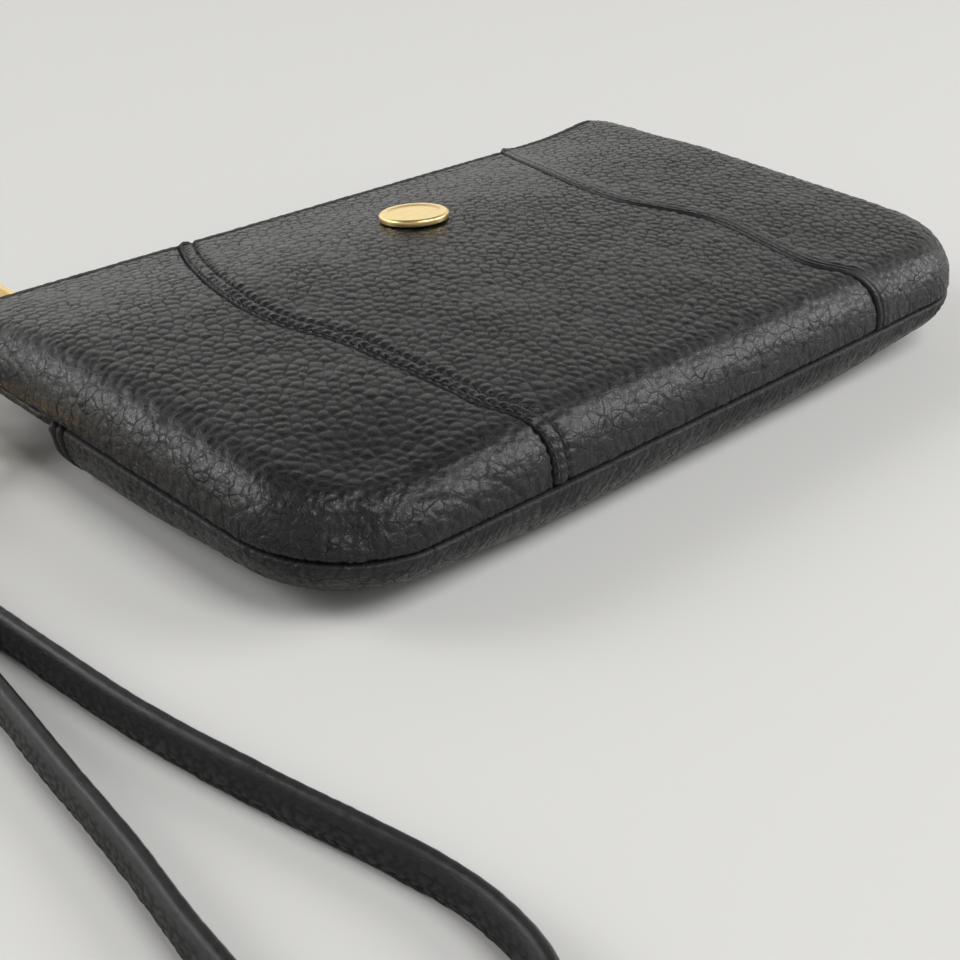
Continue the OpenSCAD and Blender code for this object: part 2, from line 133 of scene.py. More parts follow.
def times(tree, a, b):
    return math_node(tree, "MULTIPLY", a, b)


def plus(tree, a, b):
    return math_node(tree, "ADD", a, b)


def bump(tree, shader, height, distance):
    made = add_node(tree, "ShaderNodeBump", {"Distance": distance, "Strength": 1.0})
    tree.links.new(height, made.inputs["Height"])
    tree.links.new(made.outputs[0], shader.inputs["Normal"])


def attribute(tree, name):
    return add_node(tree, "ShaderNodeAttribute", attribute_name=name).outputs["Fac"]


def mixed(tree, factor, a, b):
    made = add_node(tree, "ShaderNodeMix", data_type="RGBA")
    tree.links.new(factor, made.inputs[0])
    for socket, value in ((made.inputs[6], a), (made.inputs[7], b)):
        if isinstance(value, tuple):
            socket.default_value = (*value, 1)
        else:
            tree.links.new(value, socket)
    return made.outputs[2]


def toned(tint, share):
    return tuple(share * channel for channel in tint)


# Leather: how many plates, finer cracks and cells lie along a millimetre, and the depth of the pores
PLATE_SCALE, HAIR_SCALE, CELL_SCALE = 0.37, 0.95, 1.3
PORE = 0.00003
# Near-black colour painted into creases, grooves and cracks as shade, and the roughness there
CREASE_SHADE_TINT, CRACK_ROUGHNESS = (0.0015, 0.0015, 0.0017), (0.9, 0.9, 0.9)


def leather_material(name, tint=(0.0058, 0.0058, 0.006), rough=0.27, polish=0.22, stretch=1, crackle=1.0):
    """Black grained leather. The mesh carries 'crease_shade' and 'polish', each from 0 to 1: 'crease_shade' is
    painted shade that darkens and roughens the leather in its creases, grooves and folds;
    where it is polished, as along the rim, the grain is pressed flat and shows as thin cracks, also painted
    dark as shade."""
    material, tree, shader = new_material(name)
    shader.inputs["Specular IOR Level"].default_value = 0.34
    place = object_place(tree, 3 * [stretch])
    crease_shade, worn = attribute(tree, "crease_shade"), attribute(tree, "polish")
    drift = add_node(tree, "ShaderNodeTexNoise", {"Scale": 0.3, "Detail": 3.0})
    tree.links.new(place, drift.inputs["Vector"])
    bent = add_node(tree, "ShaderNodeVectorMath", {1: (2.4, 2.4, 2.4)}, operation="MULTIPLY_ADD")
    tree.links.new(drift.outputs["Color"], bent.inputs[0])
    tree.links.new(place, bent.inputs[2])
    plates = cracks(tree, bent.outputs[0], PLATE_SCALE)
    hairs = cracks(tree, bent.outputs[0], HAIR_SCALE)
    faint = ramp(tree, noise(tree, place, 0.35, 2), [(0.35, 0.25), (0.65, 1.0)])
    line = times(tree, ramp(tree, plates, [(0.0, 1.0), (0.034, 0.85), (0.075, 0.0)]), faint)
    hair = times(tree, ramp(tree, hairs, [(0.0, 0.35), (0.07, 0.0)]), faint)
    # Crack lines where the leather is polished, painted dark as shade
    cracked = times(tree, math_node(tree, "MAXIMUM", line, hair), times(tree, worn, crackle))
    painted_shade = math_node(tree, "MAXIMUM", crease_shade, cracked)
    blotch = noise(tree, place, 0.11, 4)
    base = mixed(tree, ramp(tree, blotch, [(0.3, 0.0), (0.7, 1.0)]),
                 toned(tint, 0.75), toned(tint, 1.35))
    # The base colour is lighter where the leather is polished
    lighter_where_polished = mixed(tree, worn, base, toned(tint, 1.5))
    # Painted shade: creases and cracks turn near-black over the base colour
    tree.links.new(mixed(tree, painted_shade, lighter_where_polished, CREASE_SHADE_TINT), shader.inputs["Base Color"])
    fine = noise(tree, place, 1.7, 4, 0.6)
    gloss = ramp(tree, fine, [(0.25, rough - 0.06), (0.8, rough + 0.12)])
    shine = ramp(tree, fine, [(0.25, polish - 0.05), (0.8, polish + 0.15)])
    surface = mixed(tree, worn, gloss, shine)
    tree.links.new(mixed(tree, painted_shade, surface, CRACK_ROUGHNESS), shader.inputs["Roughness"])
    pillow = ramp(tree, plates, [(0.0, 0.0), (0.06, 0.55), (0.2, 0.9), (0.45, 1.0)])
    small = ramp(tree, hairs, [(0.0, 0.0), (0.12, 1.0)])
    pressed = plus(tree, times(tree, pillow, 2.8 * crackle), times(tree, small, 0.7 * crackle))
    cell = ramp(tree, cracks(tree, place, CELL_SCALE), [(0.0, 0.0), (0.1, 1.0)])
    relief = plus(tree, times(tree, cell, 0.5), noise(tree, place, 4.5, 3, 0.7))
    bump(tree, shader, plus(tree, relief, times(tree, pressed, worn)), PORE)
    return material


def cloth_material(name, tint, scale=1.6):
    """Fine woven cloth."""
    material, tree, shader = new_material(name)
    place = object_place(tree)
    weave = None
    for direction in ("X", "Y", "Z"):
        wave = add_node(tree, "ShaderNodeTexWave", {"Scale": scale, "Distortion": 0.4, "Detail": 1.0},
                        bands_direction=direction)
        tree.links.new(place, wave.inputs["Vector"])
        weave = wave.outputs["Fac"] if weave is None else plus(tree, weave, wave.outputs["Fac"])
    weave = times(tree, weave, 0.33)
    tree.links.new(mixed(tree, weave, toned(tint, 0.55), toned(tint, 1.3)),
                   shader.inputs["Base Color"])
    fuzz = ramp(tree, noise(tree, place, 3.0), [(0.2, 0.73), (0.8, 0.95)])
    tree.links.new(fuzz, shader.inputs["Roughness"])
    bump(tree, shader, weave, 0.00012)
    return material


def foam_material(name, tint):
    material, tree, shader = new_material(name)
    place = object_place(tree)
    pores = cracks(tree, place, 1.4)
    # Painted shade: the grooves between the pores are coloured darker
    deep = ramp(tree, pores, [(0, 0.0), (0.35, 1.0)])
    tree.links.new(mixed(tree, deep, toned(tint, 0.6), tint), shader.inputs["Base Color"])
    tree.links.new(ramp(tree, noise(tree, place, 2.0), [(0.2, 0.8), (0.8, 1.0)]), shader.inputs["Roughness"])
    bump(tree, shader, pores, 0.0003)
    return material


def metal_material(name, tint, rough, streak=(1, 1, 1)):
    """Plated metal with faint wear and polishing marks."""
    material, tree, shader = new_material(name)
    shader.inputs["Metallic"].default_value = 1.0
    place = object_place(tree, streak)
    clouds = noise(tree, place, 0.5, 4)
    tree.links.new(mixed(tree, ramp(tree, clouds, [(0.3, 0.0), (0.75, 1.0)]),
                         toned(tint, 0.86), tint), shader.inputs["Base Color"])
    marks = noise(tree, place, 6.0, 5, 0.65)
    tree.links.new(ramp(tree, marks, [(0.25, rough - 0.05), (0.8, rough + 0.09)]), shader.inputs["Roughness"])
    bump(tree, shader, marks, 0.000012)
    return material


def thread_material(name, tint):
    material, tree, shader = new_material(name)
    place = object_place(tree)
    twist = add_node(tree, "ShaderNodeTexWave", {"Scale": 1.6, "Distortion": 1.0, "Detail": 1.0},
                     bands_direction="DIAGONAL")
    tree.links.new(place, twist.inputs["Vector"])
    tree.links.new(mixed(tree, twist.outputs["Fac"], toned(tint, 0.5), tint),
                   shader.inputs["Base Color"])
    tree.links.new(ramp(tree, twist.outputs["Fac"], [(0, 0.62), (1, 0.48)]), shader.inputs["Roughness"])
    bump(tree, shader, twist.outputs["Fac"], 0.00008)
    return material


LEATHER = leather_material("leather_black")
STRAP_LEATHER = leather_material("leather_strap", (0.0045, 0.0045, 0.0047), 0.38, 0.13, 2.4, 0.12)
LINING = cloth_material("lining_cloth", (0.02, 0.02, 0.022))
TAPE = cloth_material("zip_tape_weave", (0.018, 0.018, 0.019), scale=0.9)
FOAM = foam_material("foam", (0.42, 0.42, 0.4))
STIFFENER = foam_material("stiffener", (0.5, 0.49, 0.46))
TOOTH = metal_material("teeth_gunmetal", (0.055, 0.055, 0.058), 0.38)
GOLD = metal_material("gold", (0.95, 0.68, 0.28), 0.28)
GOLD_BRUSHED = metal_material("gold_brushed", (0.97, 0.74, 0.33), 0.3, streak=(0.25, 2.5, 1))
STEEL = metal_material("steel", (0.6, 0.6, 0.61), 0.35)
THREAD = thread_material("thread_black", (0.022, 0.022, 0.024))


# ---- numbers of the body, in millimetres
HALF_W, HALF_H = 100.0, 60.5
SEAM_Z = 13.0
CORNER = 24.0
FRONT_RISE, CROWN_RISE, MOUTH_RISE = 11.5, 2.5, 6.0
BACK_DROP, MOUTH_DROP = 6.5, 5.0
EDGE_ROLL, MOUTH_ROLL, POCKET_ROLL = 10.0, 6.0, 13.0
CORNER_EASE, CORNER_REACH = 18.0, 60.0
BACK_INSET, BACK_ROLL = 1.7, 20.0
POCKET_TOP = 18.0
ROLL_POWER, ROLL_RISE = 2.2, 12.0
LEATHER_T = 1.2
# The leather's edge turns in at the seam by this much, over this length
TUCK, TUCK_LENGTH = 1.25, 1.25
# Heights where the two seams of the front bend
BEND_TOP, BEND_MIDDLE, BEND_LOW = 8, -18, -42
# What swells or hollows the front: its height, middle and size
FRONT_SHAPES = ((1.9, (98, 57), (14, 16)), (-1.7, (-84, -50), (15, 12)),
                (-0.8, (-92, -57), (6, 5)), (0.6, (-74, -63), (8, 3.4)))


def roll(q):
    q = np.clip(q, 0, 1)
    return (1 - (1 - q) ** ROLL_POWER) ** (1 / ROLL_POWER)


def smooth(q):
    return (1 - np.cos(np.pi * np.clip(q, 0, 1))) / 2


def step_up(x, a, b):
    """0 below a, 1 above b, smooth between; b may be the lower one."""
    t = np.clip((x - a) / (b - a), 0, 1)
    return t * t * (3 - 2 * t)


def bell(x, width):
    return np.exp(-(x / width) ** 2)


def unit(vectors):
    return vectors / np.maximum(np.linalg.norm(vectors, axis=-1, keepdims=True), 1e-9)


def run_lengths(points):
    """Length along a line up to each of its points."""
    return np.concatenate([[0], np.cumsum(np.linalg.norm(np.diff(points, axis=0), axis=1))])


def towards_zip(y):
    return 1 - np.sin(np.pi / 2 * np.clip((HALF_H - y) / 45, 0, 1))


def front_height(x, y):
    v = (y + 6) / 54.5
    crown = np.where(np.abs(v) >= 1, 0, CROWN_RISE * (1 - (x / HALF_W) ** 2) * np.cos(np.pi / 2 * v))
    return FRONT_RISE - (FRONT_RISE - MOUTH_RISE) * towards_zip(y) + crown


def s_curve(y, xs):
    """A seam's x by height; xs are its places at the mouth, the three bends and the bottom."""
    mouth_share = 1 - (np.maximum(y, BEND_TOP) - BEND_TOP) / (HALF_H - BEND_TOP)
    top = xs[1] + (xs[0] - xs[1]) * (1 - np.sin(np.pi / 2 * mouth_share))
    middle = xs[2] + (xs[1] - xs[2]) * smooth((y - BEND_MIDDLE) / (BEND_TOP - BEND_MIDDLE))
    lower = xs[3] + (xs[2] - xs[3]) * smooth((y - BEND_LOW) / (BEND_MIDDLE - BEND_LOW))
    foot = xs[4] + (xs[3] - xs[4]) * smooth((y + HALF_H) / (HALF_H + BEND_LOW))
    return np.where(y > BEND_TOP, top, np.where(y > BEND_MIDDLE, middle, np.where(y > BEND_LOW, lower, foot)))


def left_seam(y):
    return s_curve(y, (-38, -57.5, -52.5, -51, -46)) - 1.9


def right_seam(y):
    return s_curve(y, (62, 43, 51, 48, 54))


# The roll of the edge, by length along the leather
roll_depth = EDGE_ROLL * (1 - np.cos(np.linspace(0, np.pi / 2, 400)))
roll_rise = ROLL_RISE * roll(roll_depth / EDGE_ROLL)
roll_length = run_lengths(np.stack([roll_depth, roll_rise], -1))
EXTRA = roll_length[-1] - EDGE_ROLL
CX, CY = HALF_W - CORNER, HALF_H - CORNER
MOUTH_Y = HALF_H
FLAT_CORNER = CORNER + EXTRA


def depth_at(s):
    """Distance from the seam, seen from above, by distance from it along the leather."""
    return np.where(s < roll_length[-1], np.interp(s, roll_length, roll_depth), s - EXTRA)


def level_of(v):
    """Height on the body of a place at this height on the flat leather, away from the corners."""
    return np.where(v < -CY, -HALF_H + depth_at(v + HALF_H + EXTRA), v)


def round_corner(a, b):
    """Moves a square-cornered sheet's points so that its bottom corners are round."""
    t1 = np.clip((np.abs(a) - CX) / FLAT_CORNER, 0, 1)
    t2 = np.clip((-b - CY) / FLAT_CORNER, 0, 1)
    corner = (t1 > 0) & (t2 > 0)
    u = np.where(corner, np.sign(a) * (CX + FLAT_CORNER * t1 * np.sqrt(1 - t2 ** 2 / 2)), a)
    v = np.where(corner, -CY - FLAT_CORNER * t2 * np.sqrt(1 - t1 ** 2 / 2), b)
    return u, v


def on_body(u, v, inset=0.0):
    """x, y, distance from the seam seen from above, and distance along the leather."""
    px, py = np.abs(u) - CX, -v - CY
    corner = (px > 0) & (py > 0)
    reach = np.maximum(np.hypot(px, py), 1e-6)
    s = np.maximum(FLAT_CORNER - np.where(corner, reach, np.maximum(px, py)), 0)
    d = depth_at(s)
    in_by = inset * step_up(s, 60, 20) + TUCK * np.clip(1 - s / TUCK_LENGTH, 0, 1) ** 2
    left = CORNER - d - in_by
    side = px >= py
    x = np.sign(u) * np.where(corner, CX + px / reach * left, np.where(side, CX + left, np.abs(u)))
    y = np.where(corner, -CY - py / reach * left, np.where(side, v, -CY - left))
    return x, y, d, s


def front_face(u, v):
    x, y, d, s = on_body(u, v)
    width = EDGE_ROLL - (EDGE_ROLL - MOUTH_ROLL) * towards_zip(y)
    return np.stack([x, y, SEAM_Z + front_height(x, y) * roll(d / width)], -1)


def mound(u, v, middle, size):
    return np.exp(-((u - middle[0]) / size[0]) ** 2 - ((v - middle[1]) / size[1]) ** 2)


def slow_waves(u, v, s, broad, small, seed):
    """The slow rise and fall of the soft body; none at the seam or the mouth."""
    keep = step_up(s, 2, 22) * step_up(MOUTH_Y - v, 0, 14)
    return keep * (broad * soft_noise(u, v, 46, seed) + small * soft_noise(u, v, 15, seed + 5))


def front_fullness(u, v, s):
    """How far the padded front stands above or below its plain shape: slow waves, a near corner that has
    been gripped until it slumped, with a bulge beside it, and a far corner that stands fuller."""
    corners = sum(rise * mound(u, v, middle, size) for rise, middle, size in FRONT_SHAPES)
    return slow_waves(u, v, s, 0.62, 0.16, 71) + corners * step_up(s, 0, 6)


def front_point(u, v):
    """The front's surface before its grain, seams and folds; every layer behind it follows the same shape."""
    s = on_body(u, v)[3]
    return front_face(u, v) + normal_at(front_face, u, v) * front_fullness(u, v, s)[..., None]


def near_corner(x, y):
    return smooth(1 - np.hypot(np.abs(x) - HALF_W, y + HALF_H) / CORNER_REACH)


def pocket_point(u, v):
    x, y, d, s = on_body(u, v)
    width = POCKET_ROLL + CORNER_EASE * near_corner(x, y)
    return np.stack([x, y, SEAM_Z - SEAM_Z * roll(d / width)], -1)


def back_point(u, v):
    inset = 0.35 + (BACK_INSET - 0.35) * step_up(v, POCKET_TOP + 5, POCKET_TOP - 1)
    x, y, d, s = on_body(u, v, inset)
    depth = BACK_DROP - (BACK_DROP - MOUTH_DROP) * towards_zip(y)
    return np.stack([x, y, SEAM_Z - depth * roll(d / BACK_ROLL)], -1)


def normals_of(points):
    """Unit normals of a grid of points, by rows and columns; they point to the side where u x v points."""
    return unit(np.cross(np.gradient(points, axis=1), np.gradient(points, axis=0)))


def normal_at(surface, u, v):
    e = 0.2
    return unit(np.cross(surface(u + e, v) - surface(u - e, v), surface(u, v + e) - surface(u, v - e)))


# ---- grain and noise
def hashed(ix, iy, seed):
    n = (ix * 374761393 + iy * 668265263 + seed * 982451653) & 0xFFFFFFFF
    n = ((n ^ (n >> 13)) * 1274126177) & 0xFFFFFFFF
    n = n ^ (n >> 16)
    return (n & 0xFFFFFF) / float(0x1000000)


def soft_noise(x, y, size, seed, octaves=2):
    """Smooth noise from -1 to 1 with features of that size."""
    total, weight = 0.0, 0.0
    for k in range(octaves):
        gx, gy = x / size * 2 ** k, y / size * 2 ** k
        ix, iy = np.floor(gx).astype(np.int64), np.floor(gy).astype(np.int64)
        fx, fy = gx - ix, gy - iy
        fx, fy = fx * fx * (3 - 2 * fx), fy * fy * (3 - 2 * fy)
        low = hashed(ix, iy, seed + k) * (1 - fx) + hashed(ix + 1, iy, seed + k) * fx
        high = hashed(ix, iy + 1, seed + k) * (1 - fx) + hashed(ix + 1, iy + 1, seed + k) * fx
        total = total + (low * (1 - fy) + high * fy) * 0.5 ** k
        weight += 0.5 ** k
    return 2 * total / weight - 1


# Distance between the rows of grain cells, in cell sizes
ROW = 0.87


def cell_middle(cx, cy, seed, jitter):
    return (cx + 0.5 * (cy & 1) + jitter * (hashed(cx, cy, seed) - 0.5),
            ROW * (cy + jitter * (hashed(cx, cy, seed + 7) - 0.5)))


def grain_cells(x, y, size, seed, jitter=0.74):
    """Distance to the nearest cell border, a number per cell, and the distance from the cell's middle squared,
    in cell sizes."""
    gx, gy = x / size, y / size
    ix, iy = np.floor(gx).astype(np.int64), np.floor(gy / ROW).astype(np.int64)
    best = np.full(gx.shape, 1e9)
    mx, my = np.zeros_like(gx), np.zeros_like(gx)
    tone = np.zeros_like(gx)
    for dy in (-1, 0, 1, 2):
        for dx in (-2, -1, 0, 1):
            px, py = cell_middle(ix + dx, iy + dy, seed, jitter)
            far = (px - gx) ** 2 + (py - gy) ** 2
            closer = far < best
            best = np.where(closer, far, best)
            mx, my = np.where(closer, px, mx), np.where(closer, py, my)
            tone = np.where(closer, hashed(ix + dx, iy + dy, seed + 3), tone)
    border = np.full(gx.shape, 1e9)
    for dy in (-2, -1, 0, 1, 2):
        for dx in (-2, -1, 0, 1, 2):
            px, py = cell_middle(ix + dx, iy + dy, seed, jitter)
            wx, wy = px - mx, py - my
            apart = np.hypot(wx, wy)
            other = apart > 1e-6
            reach = ((mx + px) / 2 - gx) * wx + ((my + py) / 2 - gy) * wy
            border = np.where(other, np.minimum(border, reach / np.maximum(apart, 1e-6)), border)
    return border * size, tone, best


def groove_along(u, v, line, width):
    """1 on a line through these points and falling off over the width; it fades at the line's ends."""
    near = np.full(u.shape, 1e9)
    fade = np.zeros_like(u)
    starts = run_lengths(line)
    for (x0, y0), (x1, y1), start, size in zip(line[:-1], line[1:], starts, np.diff(starts)):
        t = np.clip(((u - x0) * (x1 - x0) + (v - y0) * (y1 - y0)) / size ** 2, 0, 1)
        away = np.hypot(u - x0 - t * (x1 - x0), v - y0 - t * (y1 - y0))
        share = (start + t * size) / starts[-1]
        fade = np.where(away < near, np.minimum(1, 4 * np.minimum(share + 0.12, 1.05 - share)), fade)
        near = np.minimum(near, away)
    return bell(near, width) * np.clip(fade, 0, 1)


# ---- meshes
def link_object(name, mesh, body, node_names, material):
    made = bpy.data.objects.new(name, mesh)
    scene.collection.objects.link(made)
    if not mesh.materials:
        mesh.materials.append(material)
    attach(made, body)
    if node_names:
        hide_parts(*node_names)
    return made


def mesh_from(name, points, faces, attributes=None):
    mesh = bpy.data.meshes.new(name)
    mesh.from_pydata((np.asarray(points, float) * MM).tolist(), [], faces)
    for key, values in (attributes or {}).items():
        layer = mesh.attributes.new(key, "FLOAT", "POINT")
        layer.data.foreach_set("value", np.asarray(values, np.float32))
    mesh.polygons.foreach_set("use_smooth", [True] * len(mesh.polygons))
    mesh.validate()
    mesh.update()
    return mesh


# Every fourth point of a shell's outer grid is in its inner grid
COARSE = 4


def coarse_size(count):
    """The number of grid lines, rounded so that every fourth one meets the far side."""
    return int(round((count - 1) / COARSE)) * COARSE + 1


def shell_mesh(name, outer, inner, attributes=None):
    """Closed shell from a fine outer grid and a coarse inner one that has every fourth row and column."""
    rows, cols = outer.shape[:2]
    low = inner[::COARSE, ::COARSE]
    r2, c2 = low.shape[:2]
    points = np.concatenate([outer.reshape(-1, 3), low.reshape(-1, 3)])
    at = np.arange(rows * cols).reshape(rows, cols)
    under = rows * cols + np.arange(r2 * c2).reshape(r2, c2)
    quads = np.stack([at[:-1, :-1], at[:-1, 1:], at[1:, 1:], at[1:, :-1]], -1).reshape(-1, 4)
    low_quads = np.stack([under[:-1, :-1], under[1:, :-1], under[1:, 1:], under[:-1, 1:]], -1).reshape(-1, 4)
    faces = quads.tolist() + low_quads.tolist()
    rims = ((at[0, ::-1], under[0, ::-1]), (at[-1], under[-1]),
            (at[:, 0], under[:, 0]), (at[::-1, -1], under[::-1, -1]))
    for fine, coarse in rims:
        for k in range(len(coarse) - 1):
            span = fine[k * COARSE:(k + 1) * COARSE + 1]
            faces.append([*span.tolist(), int(coarse[k + 1]), int(coarse[k])])
    extra = len(points) - rows * cols
    filled = {}
    for key, value in (attributes or {}).items():
        filled[key] = np.concatenate([value.ravel(), np.zeros(extra)])
    return mesh_from(name, points, faces, filled)


# ---- leather panels
def spaced(start, end, step):
    return np.linspace(start, end, max(2, int(round((end - start) / step)) + 1))


def spaced_coarse(start, end, step):
    return np.linspace(start, end, coarse_size(len(spaced(start, end, step))))


def resampled(places):
    """The same run of places with a count that a shell's inner grid can meet."""
    return np.interp(np.linspace(0, 1, coarse_size(len(places))), np.linspace(0, 1, len(places)), places)


# Over this width next to a seam a panel's columns crowd towards the seam
LEAD, LEAD_COLUMNS, LEAD_POWER = 2.6, 11, 1.15


def sheet_columns(first, last, step, fine_at=()):
    """Column places from 0 to 1 between two edges; they crowd at the ends named in fine_at."""
    start = first + (LEAD if "first" in fine_at else 0)
    end = last - (LEAD if "last" in fine_at else 0)
    parts = [spaced(start, end, step)]
    if "first" in fine_at:
        parts.insert(0, first + LEAD * np.linspace(0, 1, LEAD_COLUMNS)[:-1] ** LEAD_POWER)
    if "last" in fine_at:
        parts.append(last - LEAD * np.linspace(1, 0, LEAD_COLUMNS)[1:] ** LEAD_POWER)
    return resampled((np.concatenate(parts) - first) / (last - first))


# Size of a grain cell, the grain's height on the front, the back and the rims, and how wide the rims are
GRAIN = 2.55
FLAT_RISE, BACK_RISE, EDGE_RISE = 0.205, 0.12, 0.14
EDGE_FROM = 14.0


def grained(u, v, s, seed, flat_rise=FLAT_RISE):
    """Height of the pebbled grain, the painted shade in its creases and at the seam, and how polished the
    leather is.
    """
    warp = 0.8 * soft_noise(u, v, 6, seed + 40) + 0.26 * soft_noise(u, v, 1.9, seed + 45, 1)
    lean = 0.8 * soft_noise(u, v, 8, seed + 43) + 0.26 * soft_noise(u, v, 1.9, seed + 46, 1)
    border, tone, middle = grain_cells(u + warp, v + lean, GRAIN, seed)
    flat = step_up(s + 3.0 * soft_noise(u, v, 6, seed + 41), EDGE_FROM * 0.45, EDGE_FROM * 1.25)
    side = np.clip(border / (0.27 * GRAIN), 0, 1)
    dome = 0.62 * side * (2 - side) + 0.5 * np.clip(1 - middle / 0.36, 0, 1)
    dome = dome * (0.65 + 0.6 * tone) + 0.22 * soft_noise(u, v, 1.4, seed + 44)
    wide, tone_wide, _ = grain_cells(u + 2.2 * warp + 3, v + 2.2 * lean, GRAIN * 1.2, seed + 11, 1.0)
    plate = np.clip(wide / 0.5, 0, 1)
    plate = plate * (2 - plate) * (0.4 + 0.9 * tone_wide)
    fine_border = grain_cells(u + 2 * warp, v + 2 * lean, GRAIN * 0.5, seed + 17, 1.0)[0]
    hair = bell(fine_border, 0.2)
    rim = EDGE_RISE * plate - 0.03 * hair + 0.85 * EDGE_RISE * dome
    height = flat_rise * flat * dome + (1 - flat) * rim
    patchy = np.clip(0.5 + 0.8 * soft_noise(u, v, 5, seed + 47), 0, 1)
    # Painted shade along the grain cells' borders, and full painted shade right at the seam
    crease_shade = flat * bell(border, 0.2) * (0.3 + 0.5 * patchy) + (1 - flat) * 0.4 * bell(wide, 0.22) * patchy
    return height, np.maximum(np.clip(crease_shade, 0, 1), step_up(s, 1.1, 0.4)), 1 - flat


def along_rim(u, v):
    """Length along the seam from the bottom's middle, by the nearest point of the outline."""
    px, py = np.abs(u) - CX, -v - CY
    quarter = np.pi / 2 * FLAT_CORNER
    angle = np.arctan2(np.maximum(px, 0), np.maximum(py, 1e-6))
    straight = np.where(px > py, CX + quarter - py, np.abs(u))
    return np.where((px > 0) & (py > 0), CX + angle * FLAT_CORNER, straight) * np.sign(u)


def edge_gathers(u, v, s, seed, rise, reach, pitch=2.3, slant=0.25, comb=0.0):
    """Puckers square to the seam that fade away from it, with painted shade in the folds between them: height
    and crease shade.
    """
    along = along_rim(u, v)
    lane = (along + slant * s + 1.1 * soft_noise(along, 0.7 * s, 5, seed)) / pitch
    apart = np.abs(lane - np.round(lane))
    number = np.round(lane).astype(np.int64)
    length = reach * (0.25 + 0.75 * hashed(number, number * 0, seed + 5))
    strong = np.clip(0.5 + 0.9 * soft_noise(along, s * 0, 11, seed + 2, 1), 0.08, 1)
    fade = step_up(s, reach, 0.5) * strong
    fold = bell(apart * pitch, 0.34) * step_up(s, length, 0.35 * length)
    pillow = 1 - (2 * apart) ** 2
    return (rise * fade * (pillow - 0.6) - 0.36 * comb * fold * (0.3 + 0.7 * strong),
            comb * fold * (0.35 + 0.65 * strong))


FOLD_R = LEATHER_T / 2
BOTTOM_V = -HALF_H - EXTRA
SIDE_U = HALF_W + EXTRA


# Heights of the strips next to the bottom seam and the top edge, where the rows lie closest
FINE_ROWS, HEM_ROWS = 18.0, 6.0


def rows_from(bottom, top, step, upper_step=None):
    """Row places; between the strips next to the seam and the hem they may be further apart."""
    last = top - (HEM_ROWS if upper_step else 0.0)
    places = np.concatenate([spaced(bottom, bottom + FINE_ROWS, step)[:-1],
                             spaced(bottom + FINE_ROWS, last, upper_step or step)])
    if upper_step:
        places = np.concatenate([places[:-1], spaced(last, top, 0.7 * step)])
    return resampled(places)


def fold_rows(points, n, count=8):
    """Rows that turn the sheet's last row over by a half turn of the leather's thickness."""
    last, across = points[-1], n[-1]
    ahead = unit(points[-1] - points[-3])
    made = []
    for k in range(1, count + 1):
        turn_by = math.radians(165) * k / count
        made.append(last + ahead * FOLD_R * math.sin(turn_by) - across * FOLD_R * (1 - math.cos(turn_by)))
    return np.stack(made)


def extended(values, count, end_value):
    return np.concatenate([values, np.full((count, values.shape[1]), end_value)])


def leather_panel(name, node, surface, first, last, top, step, fine_at, relief, facing=1, upper_step=None):
    """Builds one panel. first and last give its side edges at a height; relief gives its grain and folds."""
    rows = rows_from(BOTTOM_V, top - FOLD_R, step, upper_step or step)
    start, end = first(level_of(rows)), last(level_of(rows))
    share = sheet_columns(float(np.mean(start)), float(np.mean(end)), step, fine_at)
    a = start[:, None] + (end - start)[:, None] * share[None, :]
    u, v = round_corner(a, np.repeat(rows[:, None], len(share), axis=1))
    base = surface(u, v)
    n = normals_of(base) * facing
    height, crease_shade, polish = relief(u, v, on_body(u, v)[3], a - start[:, None], end[:, None] - a)
    outer = base + n * height[..., None]
    inner = base - n * LEATHER_T
    fold = fold_rows(outer, n)
    tail = np.repeat(inner[-1:], len(fold), axis=0)
    grids = [np.concatenate([outer, fold]), np.concatenate([inner, tail]),
             extended(crease_shade, len(fold), 0.0), extended(polish, len(fold), 0.6)]
    spare = (len(grids[0]) - 1) % COARSE
    if spare:
        grids = [grid[:-spare] for grid in grids]
    if facing < 0:
        grids = [grid[:, ::-1] for grid in grids]
    outer, inner, crease_shade, polish = grids
    mesh = shell_mesh(name, outer, inner, {"crease_shade": crease_shade, "polish": polish})
    link_object(name, mesh, "wallet", [node], LEATHER)


# Distance of the stitches from the mouth, and the width of a panel's part that runs in under its neighbour
MOUTH_ROW = 2.6
UNDERLAP = 1.6
# The stitches beside the left seam: their pitch and the distances of their two rows
STITCH_PITCH = 2.05
LEFT_ROW_NEAR, LEFT_ROW_GAP = 0.9, 3.8
# The grooves beside the right seam; the first one holds the stitches
RIGHT_ROW, RIGHT_GROOVE = 1.7, 3.4
# Distances from the pocket's edge to the two pressed lines of its hem; the second one holds the stitches
HEM_LINE, HEM_ROW = 1.9, 4.0


def at_mouth(v):
    """How much of a seam's step is left where it runs into the mouth's sewn strip."""
    return 1 - 0.8 * step_up(MOUTH_Y - v, 3.0, 1.0)


def stitch_wave(v):
    """1 at each stitch and -1 between two."""
    return np.cos(2 * np.pi * v / STITCH_PITCH)


def tucked_under(height, crease_shade, to_edge, reach, v):
    """The edge that runs in under its neighbour; the part that runs under is painted dark as shade."""
    t = to_edge - UNDERLAP + 0.16 * stitch_wave(v)
    under = np.where(t > 0, -0.9 * np.exp(-np.maximum(t, 0) / 0.28) - 0.12 * bell(t, reach),
                     -0.95 - 0.5 * np.clip(-t, 0, 1))
    return height * step_up(t, -0.3, 0.5) + under * at_mouth(v), np.maximum(crease_shade, step_up(t, 0.5, 0.05))


